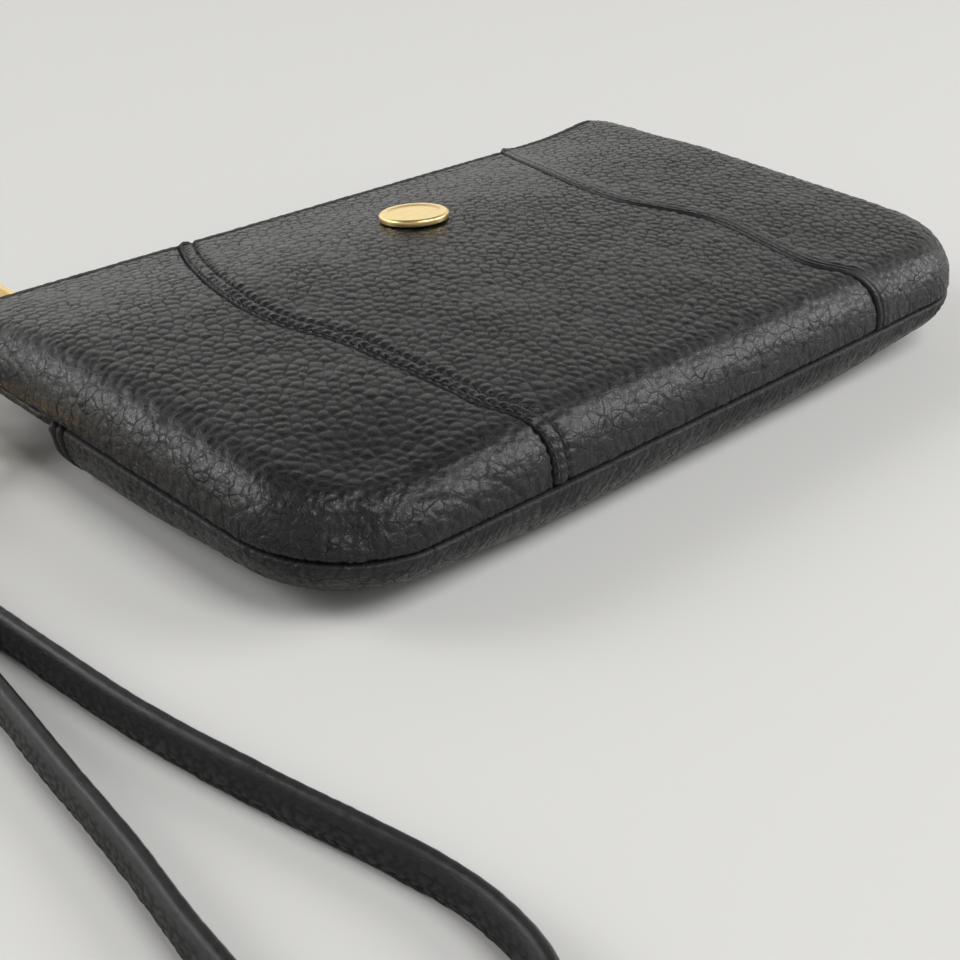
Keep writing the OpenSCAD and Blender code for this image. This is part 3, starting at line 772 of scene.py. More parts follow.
def turned_edge(height, crease_shade, lap, v, drop=1.2, rounding=0.45):
    """The folded edge that lies on top of its neighbour, with a line of painted shade along the fold."""
    return (height * step_up(lap, 0.0, 0.8) - drop * at_mouth(v) * np.clip(1 - lap / rounding, 0, 1) ** 2.2,
            np.maximum(crease_shade, bell(lap, 0.25)))


def mouth_band(v, height, crease_shade):
    """The sewn strip along the zip: pressed flatter, with a groove under its stitches."""
    down = MOUTH_Y - v
    pressed = step_up(down, MOUTH_ROW + 0.8, MOUTH_ROW - 0.4)
    height = height * (1 - 0.6 * pressed) - 0.38 * bell(down - MOUTH_ROW, 0.45) - 0.1 * pressed
    # The pressed strip is painted darker, and the groove under its stitches gets painted shade
    return height, np.maximum(crease_shade, np.maximum(0.55 * pressed, 0.8 * bell(down - MOUTH_ROW, 0.5)))


CORNER_CREASES = (((-65, -66.6), (-68, -63), (-72, -60), (-76, -58.6), (-80.5, -57.5)),
                  ((-55, -67.2), (-57.5, -64.5), (-60.5, -61.8), (-64.5, -59.6)),
                  ((-75.5, -65.5), (-78, -61.8), (-82, -59.8)),
                  ((-93, -58.8), (-91, -56), (-87, -54.2)),
                  ((-98, -56.2), (-95, -53.8), (-90, -52.2)),
                  ((-59, -67), (-61.5, -64.6), (-65, -62.8)),
                  ((-70, -66.4), (-73, -63.6), (-77, -62)),
                  ((-86, -62.5), (-85.5, -59), (-83, -56.5)))


def corner_wear_and_shade(u, v):
    """The creases of the near corner, where the wallet has been gripped: their height, and the painted shade
    in them.
    """
    u, v = u + 0.5 * soft_noise(u, v, 3, 95), v + 0.5 * soft_noise(u, v, 3, 96)
    deep, painted_shade = 0.0 * u, 0.0 * u
    for k, line in enumerate(CORNER_CREASES):
        size = 1.0 if k < 2 else 0.6
        deep = np.maximum(deep, size * groove_along(u, v, line, 0.38))
        painted_shade = np.maximum(painted_shade, min(1, 1.2 * size) * groove_along(u, v, line, 0.24))
    across, out = 0.707 * (u - v), 0.707 * (u + v)
    gripped = mound(u, v, (-88, -57), (10, 7))
    crumple = soft_noise(u, v, 1.8, 97) * mound(u, v, (-91, -56), (8, 6))
    wrinkle = bell(soft_noise(across, 0.4 * out, 2.1, 98), 0.15) * gripped
    return 0.25 * crumple - 0.3 * deep - 0.24 * wrinkle, np.maximum(painted_shade, 0.8 * wrinkle)


def mouth_knot(lap, v):
    """The lump where a seam's layers run into the mouth."""
    return 0.45 * bell(lap - 1.3, 1.1) * step_up(MOUTH_Y - v, 3.2, 1.0)


def front_relief(u, v, s, seed, rise, reach, comb):
    """What the front panels share: the grain, the strip along the zip and the gathers at the seam."""
    height, crease_shade, polish = grained(u, v, s, seed)
    height, crease_shade = mouth_band(v, height, crease_shade)
    pucker, fold = edge_gathers(u, v, s, seed + 20, rise, reach, 2.6, comb=comb)
    return height + pucker, np.maximum(crease_shade, fold), polish


def left_relief(u, v, s, from_first, to_last):
    height, crease_shade, polish = front_relief(u, v, s, 11, 0.2, 8, 0.7)
    worn_in, painted_shade = corner_wear_and_shade(u, v)
    height, crease_shade = tucked_under(height + worn_in, np.maximum(crease_shade, painted_shade), to_last, 2.6, v)
    return height, crease_shade, polish


def centre_relief(u, v, s, from_first, to_last):
    height, crease_shade, polish = front_relief(u, v, s, 12, 0.16, 7, 0.6)
    lap = from_first
    pull = bell(lap - 2.1, 1.7) * soft_noise(v, lap * 0.3, 1.5, 91, 1)
    wave = stitch_wave(v)
    dimple = 0.65 + 0.35 * wave
    height = (height + 0.08 * pull - 0.85 * dimple * bell(lap - LEFT_ROW_GAP, 0.42)
              - 0.3 * dimple * bell(lap - 0.8, 0.45) + (0.14 - 0.13 * wave) * bell(lap - 2.2, 1.1)
              - 0.13 * wave * bell(lap - LEFT_ROW_GAP - 1.2, 0.8) + mouth_knot(lap, v))
    height, crease_shade = turned_edge(height, crease_shade, lap - 0.12 * (1 + wave), v)
    # Painted shade in the groove of the far stitch row
    crease_shade = np.maximum(crease_shade, (0.75 + 0.25 * wave) * bell(lap - LEFT_ROW_GAP, 0.42 + 0.08 * wave))
    height, crease_shade = tucked_under(height, crease_shade, to_last, 3.2, v)
    return height, crease_shade, polish


def right_relief(u, v, s, from_first, to_last):
    height, crease_shade, polish = front_relief(u, v, s, 13, 0.16, 7, 0.6)
    lap = from_first
    smoother = 0.45 + 0.55 * step_up(lap, 2.6, 5.0)
    height = height * smoother + 0.26 * step_up(lap, 6.0, 3.4)
    foot = 0.3 + 0.7 * step_up(v, -38, -50)
    height = height - foot * (0.4 * bell(lap - RIGHT_ROW, 0.34) + 0.2 * bell(lap - RIGHT_GROOVE, 0.34))
    height, crease_shade = turned_edge(height, crease_shade * smoother, lap, v, 1.6)
    # Painted shade in the stitch groove and the second groove beside the seam
    grooves = np.maximum(0.8 * bell(lap - RIGHT_ROW, 0.28), 0.5 * bell(lap - RIGHT_GROOVE, 0.28))
    return height + mouth_knot(lap, v), np.maximum(crease_shade, foot * grooves), polish


def square_edge(side):
    return lambda y: np.full(y.shape, side * SIDE_U)


def seam_edge(seam, shift=0.0):
    return lambda y: seam(y) + shift


leather_panel("front_left_leather", "front_left_panel", front_point, square_edge(-1),
              seam_edge(left_seam, UNDERLAP), MOUTH_Y, 0.4, ("last",), left_relief)
leather_panel("front_centre_leather", "front_centre_panel", front_point, seam_edge(left_seam),
              seam_edge(right_seam, UNDERLAP), MOUTH_Y, 0.43, ("first", "last"), centre_relief)
leather_panel("front_right_leather", "front_right_panel", front_point, seam_edge(right_seam),
              square_edge(1), MOUTH_Y, 0.4, ("first",), right_relief)


def room_below(surface, u, v):
    """How far a surface facing the floor can swell before it touches."""
    return np.maximum(surface(u, v)[..., 2], 0)


def pocket_relief(u, v, s, from_first, to_last):
    height, crease_shade, polish = grained(u, v, s, 21, BACK_RISE)
    resting = step_up(s, 20, 34)
    pucker, fold = edge_gathers(u, v, s, 34, 0.46, 9, 2.3, 0.45, comb=0.7)
    height, crease_shade = height * (1 - 0.7 * resting) + pucker, np.maximum(crease_shade, fold)
    hem = POCKET_TOP - v
    height = height + 0.25 * step_up(hem, 4.6, 3.6)
    height = height - 0.65 * bell(hem - HEM_LINE, 0.42) - 0.65 * bell(hem - HEM_ROW, 0.42)
    # Painted shade in the hem's pressed line and stitch line
    crease_shade = np.maximum(crease_shade, np.maximum(bell(hem - HEM_LINE, 0.45), bell(hem - HEM_ROW, 0.45)))
    return np.minimum(height, room_below(pocket_point, u, v)), crease_shade, polish * 0.8


def back_relief(u, v, s, from_first, to_last):
    height, crease_shade, polish = grained(u, v, s, 22, BACK_RISE)
    behind = step_up(v, POCKET_TOP, POCKET_TOP - 6)
    pucker, fold = edge_gathers(u, v, s, 35, 0.14, 8)
    height = (height + 0.5 * slow_waves(u, v, s, 0.4, 0.12, 75) + pucker) * (1 - behind)
    return np.minimum(height, room_below(back_point, u, v)), crease_shade, polish * 0.7


leather_panel("back_pocket_leather", "back_pocket_panel", pocket_point, square_edge(-1), square_edge(1),
              POCKET_TOP, 0.41, (), pocket_relief, -1, upper_step=0.66)
leather_panel("back_leather", "back_panel", back_point, square_edge(-1), square_edge(1),
              MOUTH_Y, 0.62, (), back_relief, -1)


# ---- thread
def placed(surface, u, v, relief, from_first, to_last, facing=1):
    """Places on a finished panel's face, and the face's normals."""
    height = relief(u, v, on_body(u, v)[3], from_first, to_last)[0]
    n = normal_at(surface, u, v) * facing
    return surface(u, v) + n * height[..., None], n


def at_lengths(values, lengths, places):
    return np.stack([np.interp(places, lengths, values[:, k]) for k in range(values.shape[1])], -1)


def walk(points, extras, places):
    """Points and extra vectors at these lengths along a line."""
    lengths = run_lengths(points)
    return at_lengths(points, lengths, places), at_lengths(extras, lengths, places)


def line_length(points):
    return float(np.linalg.norm(np.diff(points, axis=0), axis=1).sum())


def curve_through(points, per_span):
    """Smooth closed line through the points."""
    points = np.asarray(points, float)
    made = []
    count = len(points)
    for i in range(count):
        p0, p1, p2, p3 = (points[(i + k) % count] for k in (-1, 0, 1, 2))
        for t in np.linspace(0, 1, per_span, endpoint=False):
            made.append(0.5 * (2 * p1 + (p2 - p0) * t + (2 * p0 - 5 * p1 + 4 * p2 - p3) * t * t
                               + (3 * p1 - p0 - 3 * p2 + p3) * t ** 3))
    return np.array(made)


def even_steps(points, step, closed=True):
    ring = np.concatenate([points, points[:1]]) if closed else points
    lengths = run_lengths(ring)
    count = int(round(lengths[-1] / step))
    return at_lengths(ring, lengths, np.linspace(0, lengths[-1], count, endpoint=not closed))


STITCH_SIDES = 7


def stitch_mesh(name, lines, pitch=2.35, share=0.76, radius=0.23, lift=0.1):
    """Rows of lockstitch: each stitch is a short thread that dives in at its ends."""
    points, faces = [], []
    rings = np.linspace(0, 1, 7)
    around = np.linspace(0, 2 * np.pi, STITCH_SIDES, endpoint=False)
    for line, normals in lines:
        count = max(1, int(line_length(line) / pitch))
        step = line_length(line) / count
        for k in range(count):
            where = (k + 0.5 + (rings - 0.5) * share) * step
            middle, n = walk(line, normals, where)
            n = unit(n)
            side = np.cross(unit(np.gradient(middle, axis=0)), n)
            bow = np.sin(np.pi * rings)
            middle = middle + n * (lift + 0.16 * (bow - 0.9))[:, None] + side * (0.1 * (rings - 0.5))[:, None]
            girth = radius * (0.45 + 0.55 * np.sqrt(bow))
            start = len(points)
            for at, size, across, up in zip(middle, girth, side, n):
                points.extend(at + size * (np.cos(a) * across + 0.85 * np.sin(a) * up) for a in around)
            for ring in range(len(rings) - 1):
                for j in range(STITCH_SIDES):
                    low, next_j = start + ring * STITCH_SIDES, (j + 1) % STITCH_SIDES
                    faces.append([low + j, low + STITCH_SIDES + j, low + STITCH_SIDES + next_j, low + next_j])
            faces.append([start + j for j in range(STITCH_SIDES)])
            end = start + (len(rings) - 1) * STITCH_SIDES
            faces.append([end + j for j in reversed(range(STITCH_SIDES))])
    return mesh_from(name, points, faces)


def add_stitches(name, lines, body="wallet", slot_name="leather", **sizes):
    link_object(name, stitch_mesh(name, lines, **sizes), body, (), THREAD)


def seam_row(seam, relief, lap, other):
    v = np.linspace(BOTTOM_V + 1.5, MOUTH_Y - 1.5, 400)
    u = seam(level_of(v)) + lap
    return placed(front_point, u, v, relief, np.full(v.shape, lap), other(level_of(v)) - u)


left_rows = [seam_row(left_seam, centre_relief, lap, right_seam) for lap in (LEFT_ROW_NEAR, LEFT_ROW_GAP)]
add_stitches("thread_left_seam", left_rows, pitch=STITCH_PITCH, radius=0.26, lift=0.16)
add_stitches("thread_right_seam", [seam_row(right_seam, right_relief, RIGHT_ROW, square_edge(1))],
             radius=0.19, lift=0.04)


def level_row(surface, relief, v, start, end, facing, first, last):
    """A row of thread at one height of a panel, from start to end; first and last are the panel's edges."""
    u = np.linspace(start, end, 400)
    height = np.full(u.shape, v)
    return placed(surface, u, height, relief, u - first, last - u, facing)


def wide_row(surface, relief, v, half):
    """A row of thread on a panel of the back, from one side to the other."""
    return level_row(surface, relief, v, -half, half, -1, -SIDE_U, SIDE_U)


ROW_V = MOUTH_Y - MOUTH_ROW
MOUTH_HALF = 95.0
left_x, right_x = (float(seam(np.array([ROW_V]))[0]) for seam in (left_seam, right_seam))
add_stitches("thread_mouth_front", [
    level_row(front_point, left_relief, ROW_V, -MOUTH_HALF, left_x, 1, -SIDE_U, left_x + UNDERLAP),
    level_row(front_point, centre_relief, ROW_V, left_x + 0.9, right_x, 1, left_x, right_x + UNDERLAP),
    level_row(front_point, right_relief, ROW_V, right_x + 0.9, MOUTH_HALF, 1, right_x, SIDE_U)],
    pitch=2.3, radius=0.17, lift=0.05)
add_stitches("thread_mouth_back", [wide_row(back_point, back_relief, ROW_V, MOUTH_HALF)],
             pitch=2.3, radius=0.17, lift=0.05)
add_stitches("thread_hem", [wide_row(pocket_point, pocket_relief, POCKET_TOP - HEM_ROW, SIDE_U - 3)],
             pitch=2.3, radius=0.2, lift=0.0)


# ---- inner layers
LAYER_GAP = 0.05
PADDING_T, LINING_T, STIFFENER_T = 1.7, 0.4, 0.5
SEWN_Y = 46.6
LAYER_STEP = 1.6


def layer_sheet(name, node, surface, inset, thickness, top, facing, material, ripple):
    """One soft layer behind the leather, with the slow waves of a sheet that is held only at its seams."""
    columns, rows = spaced_coarse(-SIDE_U, SIDE_U, LAYER_STEP), rows_from(BOTTOM_V, top, LAYER_STEP)
    u, v = round_corner(*np.meshgrid(columns, rows))
    base = surface(u, v)
    n = normals_of(base) * facing
    free = step_up(on_body(u, v)[3], 8, 24) * step_up(top - v, 0, 8)
    height = -inset - ripple * free * (0.5 + 0.5 * soft_noise(u, v, 17, len(name)))
    outer = base + n * height[..., None]
    inner = base - n * (inset + thickness)
    if facing < 0:
        outer, inner = outer[:, ::-1], inner[:, ::-1]
    return link_object(name, shell_mesh(name, outer, inner), "wallet", [node], material)


BEHIND = LEATHER_T + LAYER_GAP
BEHIND_PADDING = LEATHER_T + PADDING_T + 2 * LAYER_GAP
BEHIND_STIFFENER = LEATHER_T + STIFFENER_T + 2 * LAYER_GAP
padding = layer_sheet("padding", "front_padding", front_point, BEHIND, PADDING_T, SEWN_Y, 1, FOAM, 0.3)
layer_sheet("lining_front", "front_lining", front_point, BEHIND_PADDING, LINING_T, SEWN_Y, 1,
            LINING, 0.12)
layer_sheet("stiffener_back", "back_interlining", back_point, BEHIND, STIFFENER_T, SEWN_Y, -1,
            STIFFENER, 0.05)
layer_sheet("lining_back", "back_lining", back_point, BEHIND_STIFFENER, LINING_T, SEWN_Y, -1,
            LINING, 0.12)
layer_sheet("lining_pocket", "pocket_lining", pocket_point, BEHIND, LINING_T, POCKET_TOP - 0.6, -1,
            LINING, 0.05)


# ---- folded bands: zip tapes and the ring's tab
# How round a band's corners are; smaller is squarer
BAND_CORNER = 0.55


def band_mesh(name, line, out, across, half_w, half_t, relief, seed, sides):
    """A flat band along a line: out is its thickness direction at each point, across its width direction."""
    angle = np.linspace(0, 2 * np.pi, sides, endpoint=False)
    pw = np.sign(np.cos(angle)) * np.abs(np.cos(angle)) ** (BAND_CORNER * 0.35)
    pt = np.sign(np.sin(angle)) * np.abs(np.sin(angle)) ** BAND_CORNER
    rows = len(line)
    along = np.arange(rows) * line_length(line) / (rows - 1)
    run = np.repeat(along[:, None], sides, axis=1)
    w = np.repeat(half_w * pw[None, :], rows, axis=0)
    border, tone, _ = grain_cells(run, w + 7 * (pt[None, :] > 0), 1.7, seed, 0.9)
    lumps = np.clip(border / 0.6, 0, 1) * (0.5 + tone) * (np.abs(pw)[None, :] < 0.97)
    rise = half_t * pt[None, :] + relief * np.sign(pt)[None, :] * lumps
    points = line[:, None, :] + across[None, None, :] * w[..., None] + out[:, None, :] * rise[..., None]
    at = np.arange(rows * sides).reshape(rows, sides)
    low, high = at[:-1], at[1:]
    faces = np.stack([low, high, np.roll(high, -1, 1), np.roll(low, -1, 1)], -1).reshape(-1, 4).tolist()
    faces += [at[0].tolist(), at[-1, ::-1].tolist()]
    looks = {"crease_shade": np.zeros(rows * sides), "polish": np.full(rows * sides, 0.3)}
    return mesh_from(name, points.reshape(-1, 3), faces, looks)


def in_plane(points, plane):
    """Lifts a flat line into space and gives its sideways direction; plane names the two axes."""
    line = np.zeros((len(points), 3))
    line[:, plane] = points
    ahead = unit(np.gradient(points, axis=0))
    out = np.zeros((len(points), 3))
    out[:, plane] = np.stack([-ahead[:, 1], ahead[:, 0]], -1)
    return line, out


ZIP_Y, ZIP_Z = 56.85, 13.5
TAPE_T, TAPE_HALF, TAPE_EDGE = 0.4, 84.0, 1.5
TAPE_STEP, RIB_STEP, RIB_SHARE = 0.35, 0.55, 0.06


def tape_mesh(name, side, fold_z, slope_z):
    """A woven tape: up from the teeth, over at the mouth's edge and in between the layers."""
    profile = np.array([(ZIP_Y, ZIP_Z + side * TAPE_EDGE), (ZIP_Y, ZIP_Z + side * (TAPE_EDGE + 0.5)),
                        (ZIP_Y, fold_z - side * 0.6), (ZIP_Y - 0.3, fold_z - side * 0.15),
                        (ZIP_Y - 1.0, fold_z), (ZIP_Y - 2.4, fold_z + (slope_z - fold_z) * 0.2),
                        (47.2, slope_z)])
    fine = even_steps(profile, TAPE_STEP, closed=False)
    line, out = in_plane(fine, [1, 2])
    numbers = np.arange(len(fine))
    bead = TAPE_T / 2 * (1 + 0.3 * bell(numbers * TAPE_STEP - 0.3, 0.45))
    pick = np.linspace(0, len(fine) - 1, coarse_size(len(fine)))
    push = at_lengths(out, numbers, pick)
    thick = np.interp(pick, numbers, bead)
    rib_x = spaced_coarse(-TAPE_HALF, TAPE_HALF, RIB_STEP)
    rib = 1 + RIB_SHARE * np.cos(np.arange(len(rib_x)) * np.pi)
    grid = np.repeat(at_lengths(line, numbers, pick)[:, None, :], len(rib_x), axis=1)
    grid[..., 0] += rib_x
    upper = grid + push[:, None, :] * (thick[:, None] * rib)[..., None]
    lower = grid - (push * thick[:, None])[:, None, :]
    return shell_mesh(name, lower, upper) if side > 0 else shell_mesh(name, upper, lower)


for side, fold_z, slope_z, node in ((1, 17.55, 19.9, "zip_tape_front"), (-1, 9.45, 9.1, "zip_tape_back")):
    woven = node + "_woven"
    link_object(woven, tape_mesh(woven, side, fold_z, slope_z), "wallet", [node], TAPE)


TAB_X, TAB_Z, TAB_T = -106.3, 13.0, 1.1
TAB_MIDDLE_Y, TAB_HALF = 45.0, 5.0
TAB_TURN = 1.7
TAB_SIDE = [(-97.5, 0.6), (-100.5, 0.62), (-103.2, 0.85)]
tab_route = [(x, TAB_Z + z) for x, z in TAB_SIDE]
tab_route += [(TAB_X + TAB_TURN * math.cos(a), TAB_Z + TAB_TURN * math.sin(a))
              for a in np.radians(np.arange(60, 301, 15))]
tab_route += [(x, TAB_Z - z) for x, z in reversed(TAB_SIDE)]
tab_line, tab_out = in_plane(even_steps(np.array(tab_route), 0.22, closed=False), [0, 2])
tab_line[:, 1] = TAB_MIDDLE_Y
tab_mesh = band_mesh("ring_tab_leather", tab_line, tab_out, np.array([0.0, 1.0, 0.0]), TAB_HALF, TAB_T / 2,
                     relief=0.05, seed=81, sides=96)
link_object("ring_tab_leather", tab_mesh, "wallet", ["ring_tab"], LEATHER)
tab_rows = []
for y in (TAB_MIDDLE_Y - TAB_HALF + 0.9, TAB_MIDDLE_Y + TAB_HALF - 0.9):
    row = np.array([(-98.5, y, TAB_Z + 1.22), (-100.5, y, TAB_Z + 1.24), (-103.0, y, TAB_Z + 1.45)])
    tab_rows.append((row, np.tile([0.0, 0.0, 1.0], (3, 1))))
cross = np.array([(-102.6, TAB_MIDDLE_Y - 4, TAB_Z + 1.4), (-102.6, TAB_MIDDLE_Y + 4, TAB_Z + 1.4)])
tab_rows.append((cross, np.tile([0.0, 0.0, 1.0], (2, 1))))
add_stitches("thread_tab", tab_rows, pitch=1.7, radius=0.2, lift=0.08)


# ---- metal and small solids, refined from the frame
def refined(name, node, body, slot_name, material, width, segments=3, fine=0.0, rough=0.0, seed=1):
    """A copy of a CAD solid with eased edges; soft ones are also divided and given an uneven surface."""
    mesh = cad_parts[node].data.copy()
    mesh.name = name
    work = bmesh.new()
    work.from_mesh(mesh)
    bmesh.ops.remove_doubles(work, verts=work.verts, dist=1e-6)
    bmesh.ops.dissolve_limit(work, angle_limit=math.radians(0.6), verts=work.verts, edges=work.edges)
    sharp = [e for e in work.edges if len(e.link_faces) == 2 and e.calc_face_angle(0) > math.radians(38)]
    bmesh.ops.bevel(work, geom=sharp, offset=width * MM, segments=segments, profile=0.5, affect="EDGES",
                    clamp_overlap=True)
    if fine:
        bmesh.ops.triangulate(work, faces=work.faces)
        for _ in range(5):
            long_ones = [e for e in work.edges if e.calc_length() > fine * MM]
            if not long_ones:
                break
            bmesh.ops.subdivide_edges(work, edges=long_ones, cuts=1)
            bmesh.ops.triangulate(work, faces=work.faces)
        work.normal_update()
        points = np.array([vert.co for vert in work.verts]) / MM
        push = rough * (soft_noise(points[:, 0] + points[:, 2], points[:, 1] - points[:, 2], 0.9, seed)
                        + 0.6 * soft_noise(points[:, 0], points[:, 2] + points[:, 1], 2.2, seed + 1))
        for vert, lift in zip(work.verts, push):
            vert.co += vert.normal * float(lift) * MM
    for face in work.faces:
        face.smooth = True
    work.to_mesh(mesh)
    work.free()
    mesh.materials.clear()
    made = link_object(name, mesh, body, [node], material)
    if not fine:
        weigh = made.modifiers.new("weighted normals", "WEIGHTED_NORMAL")
        weigh.keep_sharp = True


REFINED = (
    ("teeth_front", "zip_teeth_front", "wallet", "zip_teeth", TOOTH, 0.12, 2),
    ("teeth_back", "zip_teeth_back", "wallet", "zip_teeth", TOOTH, 0.12, 2),
    ("top_stops", "zip_top_stops", "wallet", "gold_metal", GOLD, 0.15, 3),
    ("bottom_stop", "zip_bottom_stop", "wallet", "gold_metal", GOLD, 0.2, 3),
    ("end_tab_left", "zip_end_tab_left", "wallet", "leather", LEATHER, 0.55, 4, 0.45, 0.06),
    ("end_tab_right", "zip_end_tab_right", "wallet", "leather", LEATHER, 0.55, 4, 0.45, 0.06),
    ("slider", "zip_slider", "slider", "gold_metal", GOLD, 0.14, 3),
    ("pull", "zip_pull", "pull", "gold_metal", GOLD, 0.16, 3),
    ("plaque", "badge_plate", "wallet", "gold_metal", GOLD_BRUSHED, 0.16, 3),
    ("plaque_washer", "badge_washer", "wallet", "steel", STEEL, 0.08, 2),
    ("ring", "d_ring", "ring", "gold_metal", GOLD, 0.1, 2),
    ("hook", "clasp_hook", "clasp", "gold_metal", GOLD, 0.25, 3),
    ("gate", "clasp_gate", "gate", "gold_metal", GOLD, 0.15, 3),
    ("gate_rivet", "gate_pin", "clasp", "gold_metal", GOLD, 0.1, 2),
    ("gate_coil", "gate_spring", "clasp", "steel", STEEL, 0.05, 2),
    ("eye", "swivel_eye", "eye", "gold_metal", GOLD, 0.25, 3),
)
for row in REFINED:
    refined(*row)


# ---- strap
LOOP_X = -138.6
LOOP_ROUTE = [(1.7, 4), (2.4, -8), (3.6, -20), (4.6, -36), (6, -54), (8.4, -70), (11.6, -86),
              (14.6, -100), (16.4, -110), (16.6, -120), (14.4, -130), (8.6, -138.5), (0.8, -142),
              (-7.2, -140.5), (-13, -133), (-15.4, -122), (-15.6, -110), (-14.2, -96), (-11.4, -79),
              (-8.7, -57), (-6.4, -40), (-4.2, -22), (-2.5, -8), (-1.7, 4)]
STRAP_W, STRAP_T = 7.5, 3.3
BAR_X, BAR_Y = -136.8334, 21.4142
WRAP_R, WRAP_T, WRAP_H, WRAP_Z = 2.2, 1.75, 6.4, 6.0
# The seam's place on the strap's side, as a share of the half height from the middle
STRAP_ROW = -0.55
STRAP_STEP = 0.5

bar_turn = [(BAR_X + WRAP_R * math.cos(a), BAR_Y + WRAP_R * math.sin(a))
            for a in np.radians((188, 150, 110, 70, 30, -8))]
strap_route = [(LOOP_X + x, y) for x, y in LOOP_ROUTE]
strap_route += [(LOOP_X - 1.68, 8.5), (LOOP_X - 1.6, 13.5), *bar_turn,
                (LOOP_X + 1.6, 13.5), (LOOP_X + 1.68, 8.5)]
strap_line = even_steps(curve_through(strap_route, 14), STRAP_STEP)


def strap_state(y):
    """Half thickness, half height and height of the middle, by place along the strap."""
    half_t = STRAP_T / 2 + (WRAP_T - STRAP_T) / 2 * step_up(y, 12, 17)
    half_h = STRAP_W / 2 + (WRAP_H - STRAP_W) / 2 * step_up(y, 4, 15)
    middle = STRAP_W / 2 + (WRAP_Z - STRAP_W / 2) * step_up(y, -6, 15)
    return half_t, half_h, middle


def strap_mesh(name):
    ahead = unit(np.roll(strap_line, -1, axis=0) - np.roll(strap_line, 1, axis=0))
    side = np.stack([ahead[:, 1], -ahead[:, 0]], -1)
    lengths = np.arange(len(strap_line)) * STRAP_STEP
    sides = 60
    angle = np.linspace(0, 2 * np.pi, sides, endpoint=False)
    c, w = np.cos(angle), np.sin(angle)
    half_t, half_h, middle = strap_state(strap_line[:, 1])
    px = np.sign(c) * np.abs(c) ** 0.86
    pz = np.sign(w) * np.abs(w) ** 0.72
    across = half_t[:, None] * px[None, :]
    height = half_h[:, None] * pz[None, :]
    girth = np.cumsum(np.concatenate([[0], np.hypot(np.diff(across[0]), np.diff(height[0]))]))
    lane = np.repeat(girth[None, :], len(strap_line), 0)
    run = np.repeat(lengths[:, None], sides, 1)
    # The grain is drawn out along the strap; the rolled top is smooth, with small ripples across it
    border, tone, _ = grain_cells(run / 1.6 + 0.3 * soft_noise(run, lane, 2, 55), lane, 1.5, 51, 0.95)
    dome = np.clip(border / 0.5, 0, 1)
    dome = dome * (2 - dome) * (0.4 + 0.9 * tone)
    z_share = pz[None, :] + 0 * run
    face = step_up(z_share, 0.72, 0.3)
    ripple = soft_noise(run, 0.25 * lane, 1.1, 63, 1) * (1 - face)
    relief = 0.17 * dome * face + 0.045 * ripple + 0.12 * soft_noise(run, lane * 0.4, 11, 61, 2)
    row = bell((z_share - STRAP_ROW) * half_h[:, None], 0.3)
    relief = relief - 0.2 * row
    n_across, n_up = px / np.maximum(half_t[:, None], 0.1), pz / half_h[:, None]
    size = np.hypot(n_across, n_up)
    n_across, n_up = n_across / size, n_up / size
    out = across + relief * n_across
    tall = height + relief * n_up
    points = np.stack([strap_line[:, None, 0] + side[:, None, 0] * out,
                       strap_line[:, None, 1] + side[:, None, 1] * out,
                       np.maximum(middle[:, None] + tall, 0.02)], -1)
    rows = len(strap_line)
    at = np.arange(rows * sides).reshape(rows, sides)
    nxt, nxt_side = np.roll(at, -1, axis=0), np.roll(at, -1, axis=1)
    far = np.roll(nxt, -1, axis=1)
    faces = np.stack([at, nxt_side, far, nxt], -1).reshape(-1, 4).tolist()
    # Painted shade along the grain cells' borders on the faces and in the seam's groove
    crease_shade = 0.8 * bell(border, 0.24) * face + 0.8 * row
    polish = (1 - face) * step_up(z_share, 0.3, 0.8)
    return mesh_from(name, points.reshape(-1, 3), faces,
                     {"crease_shade": np.clip(crease_shade, 0, 1).ravel(), "polish": polish.ravel()}), side


strap_mesh_data, strap_side = strap_mesh("strap_leather")
link_object("strap_leather", strap_mesh_data, "strap", ["strap"], STRAP_LEATHER)


def strap_rows():
    """The seam near both faces' lower edge, without the parts where the strap's halves face each other."""
    keep = np.where(strap_line[:, 1] < 12.5)[0]
    runs = np.split(keep, np.where(np.diff(keep) > 1)[0] + 1)
    half_t, half_h, middle = strap_state(strap_line[:, 1])
    lines = []
    for hand in (1, -1):
        for run in runs:
            if len(run) < 10:
                continue
            line, side = strap_line[run], strap_side[run]
            points = np.column_stack([line + side * (half_t[run] * hand * 0.9)[:, None],
                                      middle[run] + half_h[run] * STRAP_ROW])
            towards_loop = hand * np.sign(side[:, 0]) * np.sign(line[:, 0] - LOOP_X) < 0
            in_view = np.where(~((line[:, 1] > -6) & towards_loop))[0]
            normals = np.column_stack([side * hand, np.zeros(len(run))])
            if len(in_view) > 10:
                lines.append((points[in_view], normals[in_view]))
    return lines


add_stitches("thread_strap", strap_rows(), "strap", "strap_leather", pitch=2.3, radius=0.17, lift=-0.05)


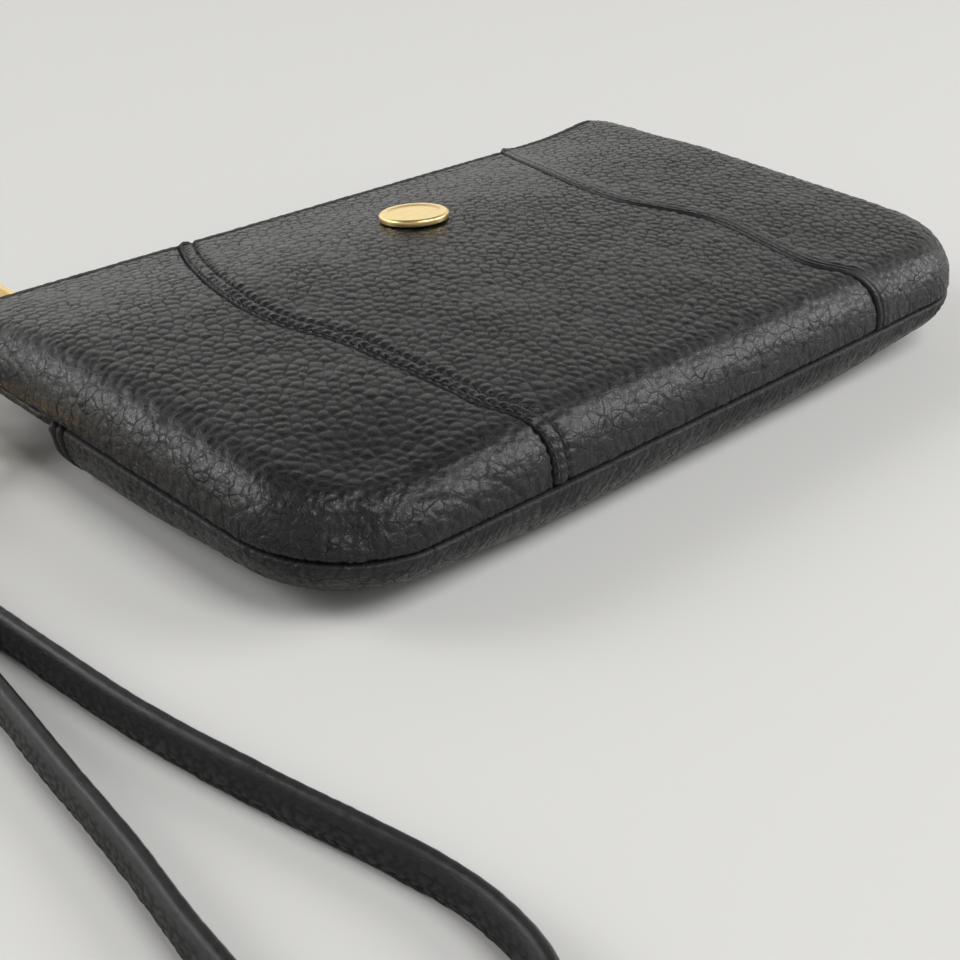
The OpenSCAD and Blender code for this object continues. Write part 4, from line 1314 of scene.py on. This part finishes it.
# ---- floor and light
def soft_area(name, size, power, place, aim):
    data = bpy.data.lights.new(name, "AREA")
    data.shape = "RECTANGLE"
    data.size, data.size_y = size
    data.energy = power
    made = bpy.data.objects.new(name, data)
    scene.collection.objects.link(made)
    made.location = place
    made.rotation_euler = (Vector(aim) - Vector(place)).to_track_quat("-Z", "Y").to_euler()


floor_mesh = bpy.data.meshes.new("floor")
floor_mesh.from_pydata([(-9, -9, 0), (9, -9, 0), (9, 9, 0), (-9, 9, 0)], [], [(0, 1, 2, 3)])
floor = bpy.data.objects.new("floor", floor_mesh)
scene.collection.objects.link(floor)
floor.location.z = -0.0001
floor_look, floor_tree, floor_shader = new_material("floor_paper")
floor_shader.inputs["Base Color"].default_value = (0.54, 0.537, 0.524, 1)
floor_shader.inputs["Roughness"].default_value = 0.9
floor_shader.inputs["Specular IOR Level"].default_value = 0.1
floor_mesh.materials.append(floor_look)

# Bright all round the horizon and most beyond the wallet, dim overhead
world = bpy.data.worlds.new("studio")
scene.world = world
world.use_nodes = True
sky = world.node_tree
direction = add_node(sky, "ShaderNodeTexCoord").outputs["Generated"]
parts = add_node(sky, "ShaderNodeSeparateXYZ")
sky.links.new(direction, parts.inputs[0])
band = ramp(sky, parts.outputs["Z"], [(0.0, 1.0), (0.48, 1.0), (0.72, 0.13), (1.0, 0.08)])
beyond = add_node(sky, "ShaderNodeVectorMath", operation="DOT_PRODUCT")
sky.links.new(direction, beyond.inputs[0])
beyond.inputs[1].default_value = (-0.1, 0.99, 0.0)
facing = math_node(sky, "MULTIPLY_ADD", beyond.outputs["Value"], 0.5)
facing.node.inputs[2].default_value = 0.5
glow = ramp(sky, facing, [(0.0, 0.5), (0.5, 0.58), (1.0, 1.02)])
strength = math_node(sky, "MULTIPLY", math_node(sky, "MULTIPLY", band, glow), 1.25)
sky_background = sky.nodes["Background"]
sky_background.inputs["Color"].default_value = (1.0, 0.99, 0.965, 1)
sky.links.new(strength, sky_background.inputs["Strength"])
soft_area("right", (1.4, 1.4), 38.0, (1.9, -1.3, 1.35), (0, 0, 0))
soft_area("left", (1.2, 1.0), 30.0, (-1.5, 1.6, 1.35), (-0.05, 0, 0))
soft_area("overhead", (1.2, 1.2), 33.0, (0.15, -1.2, 1.9), (0.05, -0.2, 0))
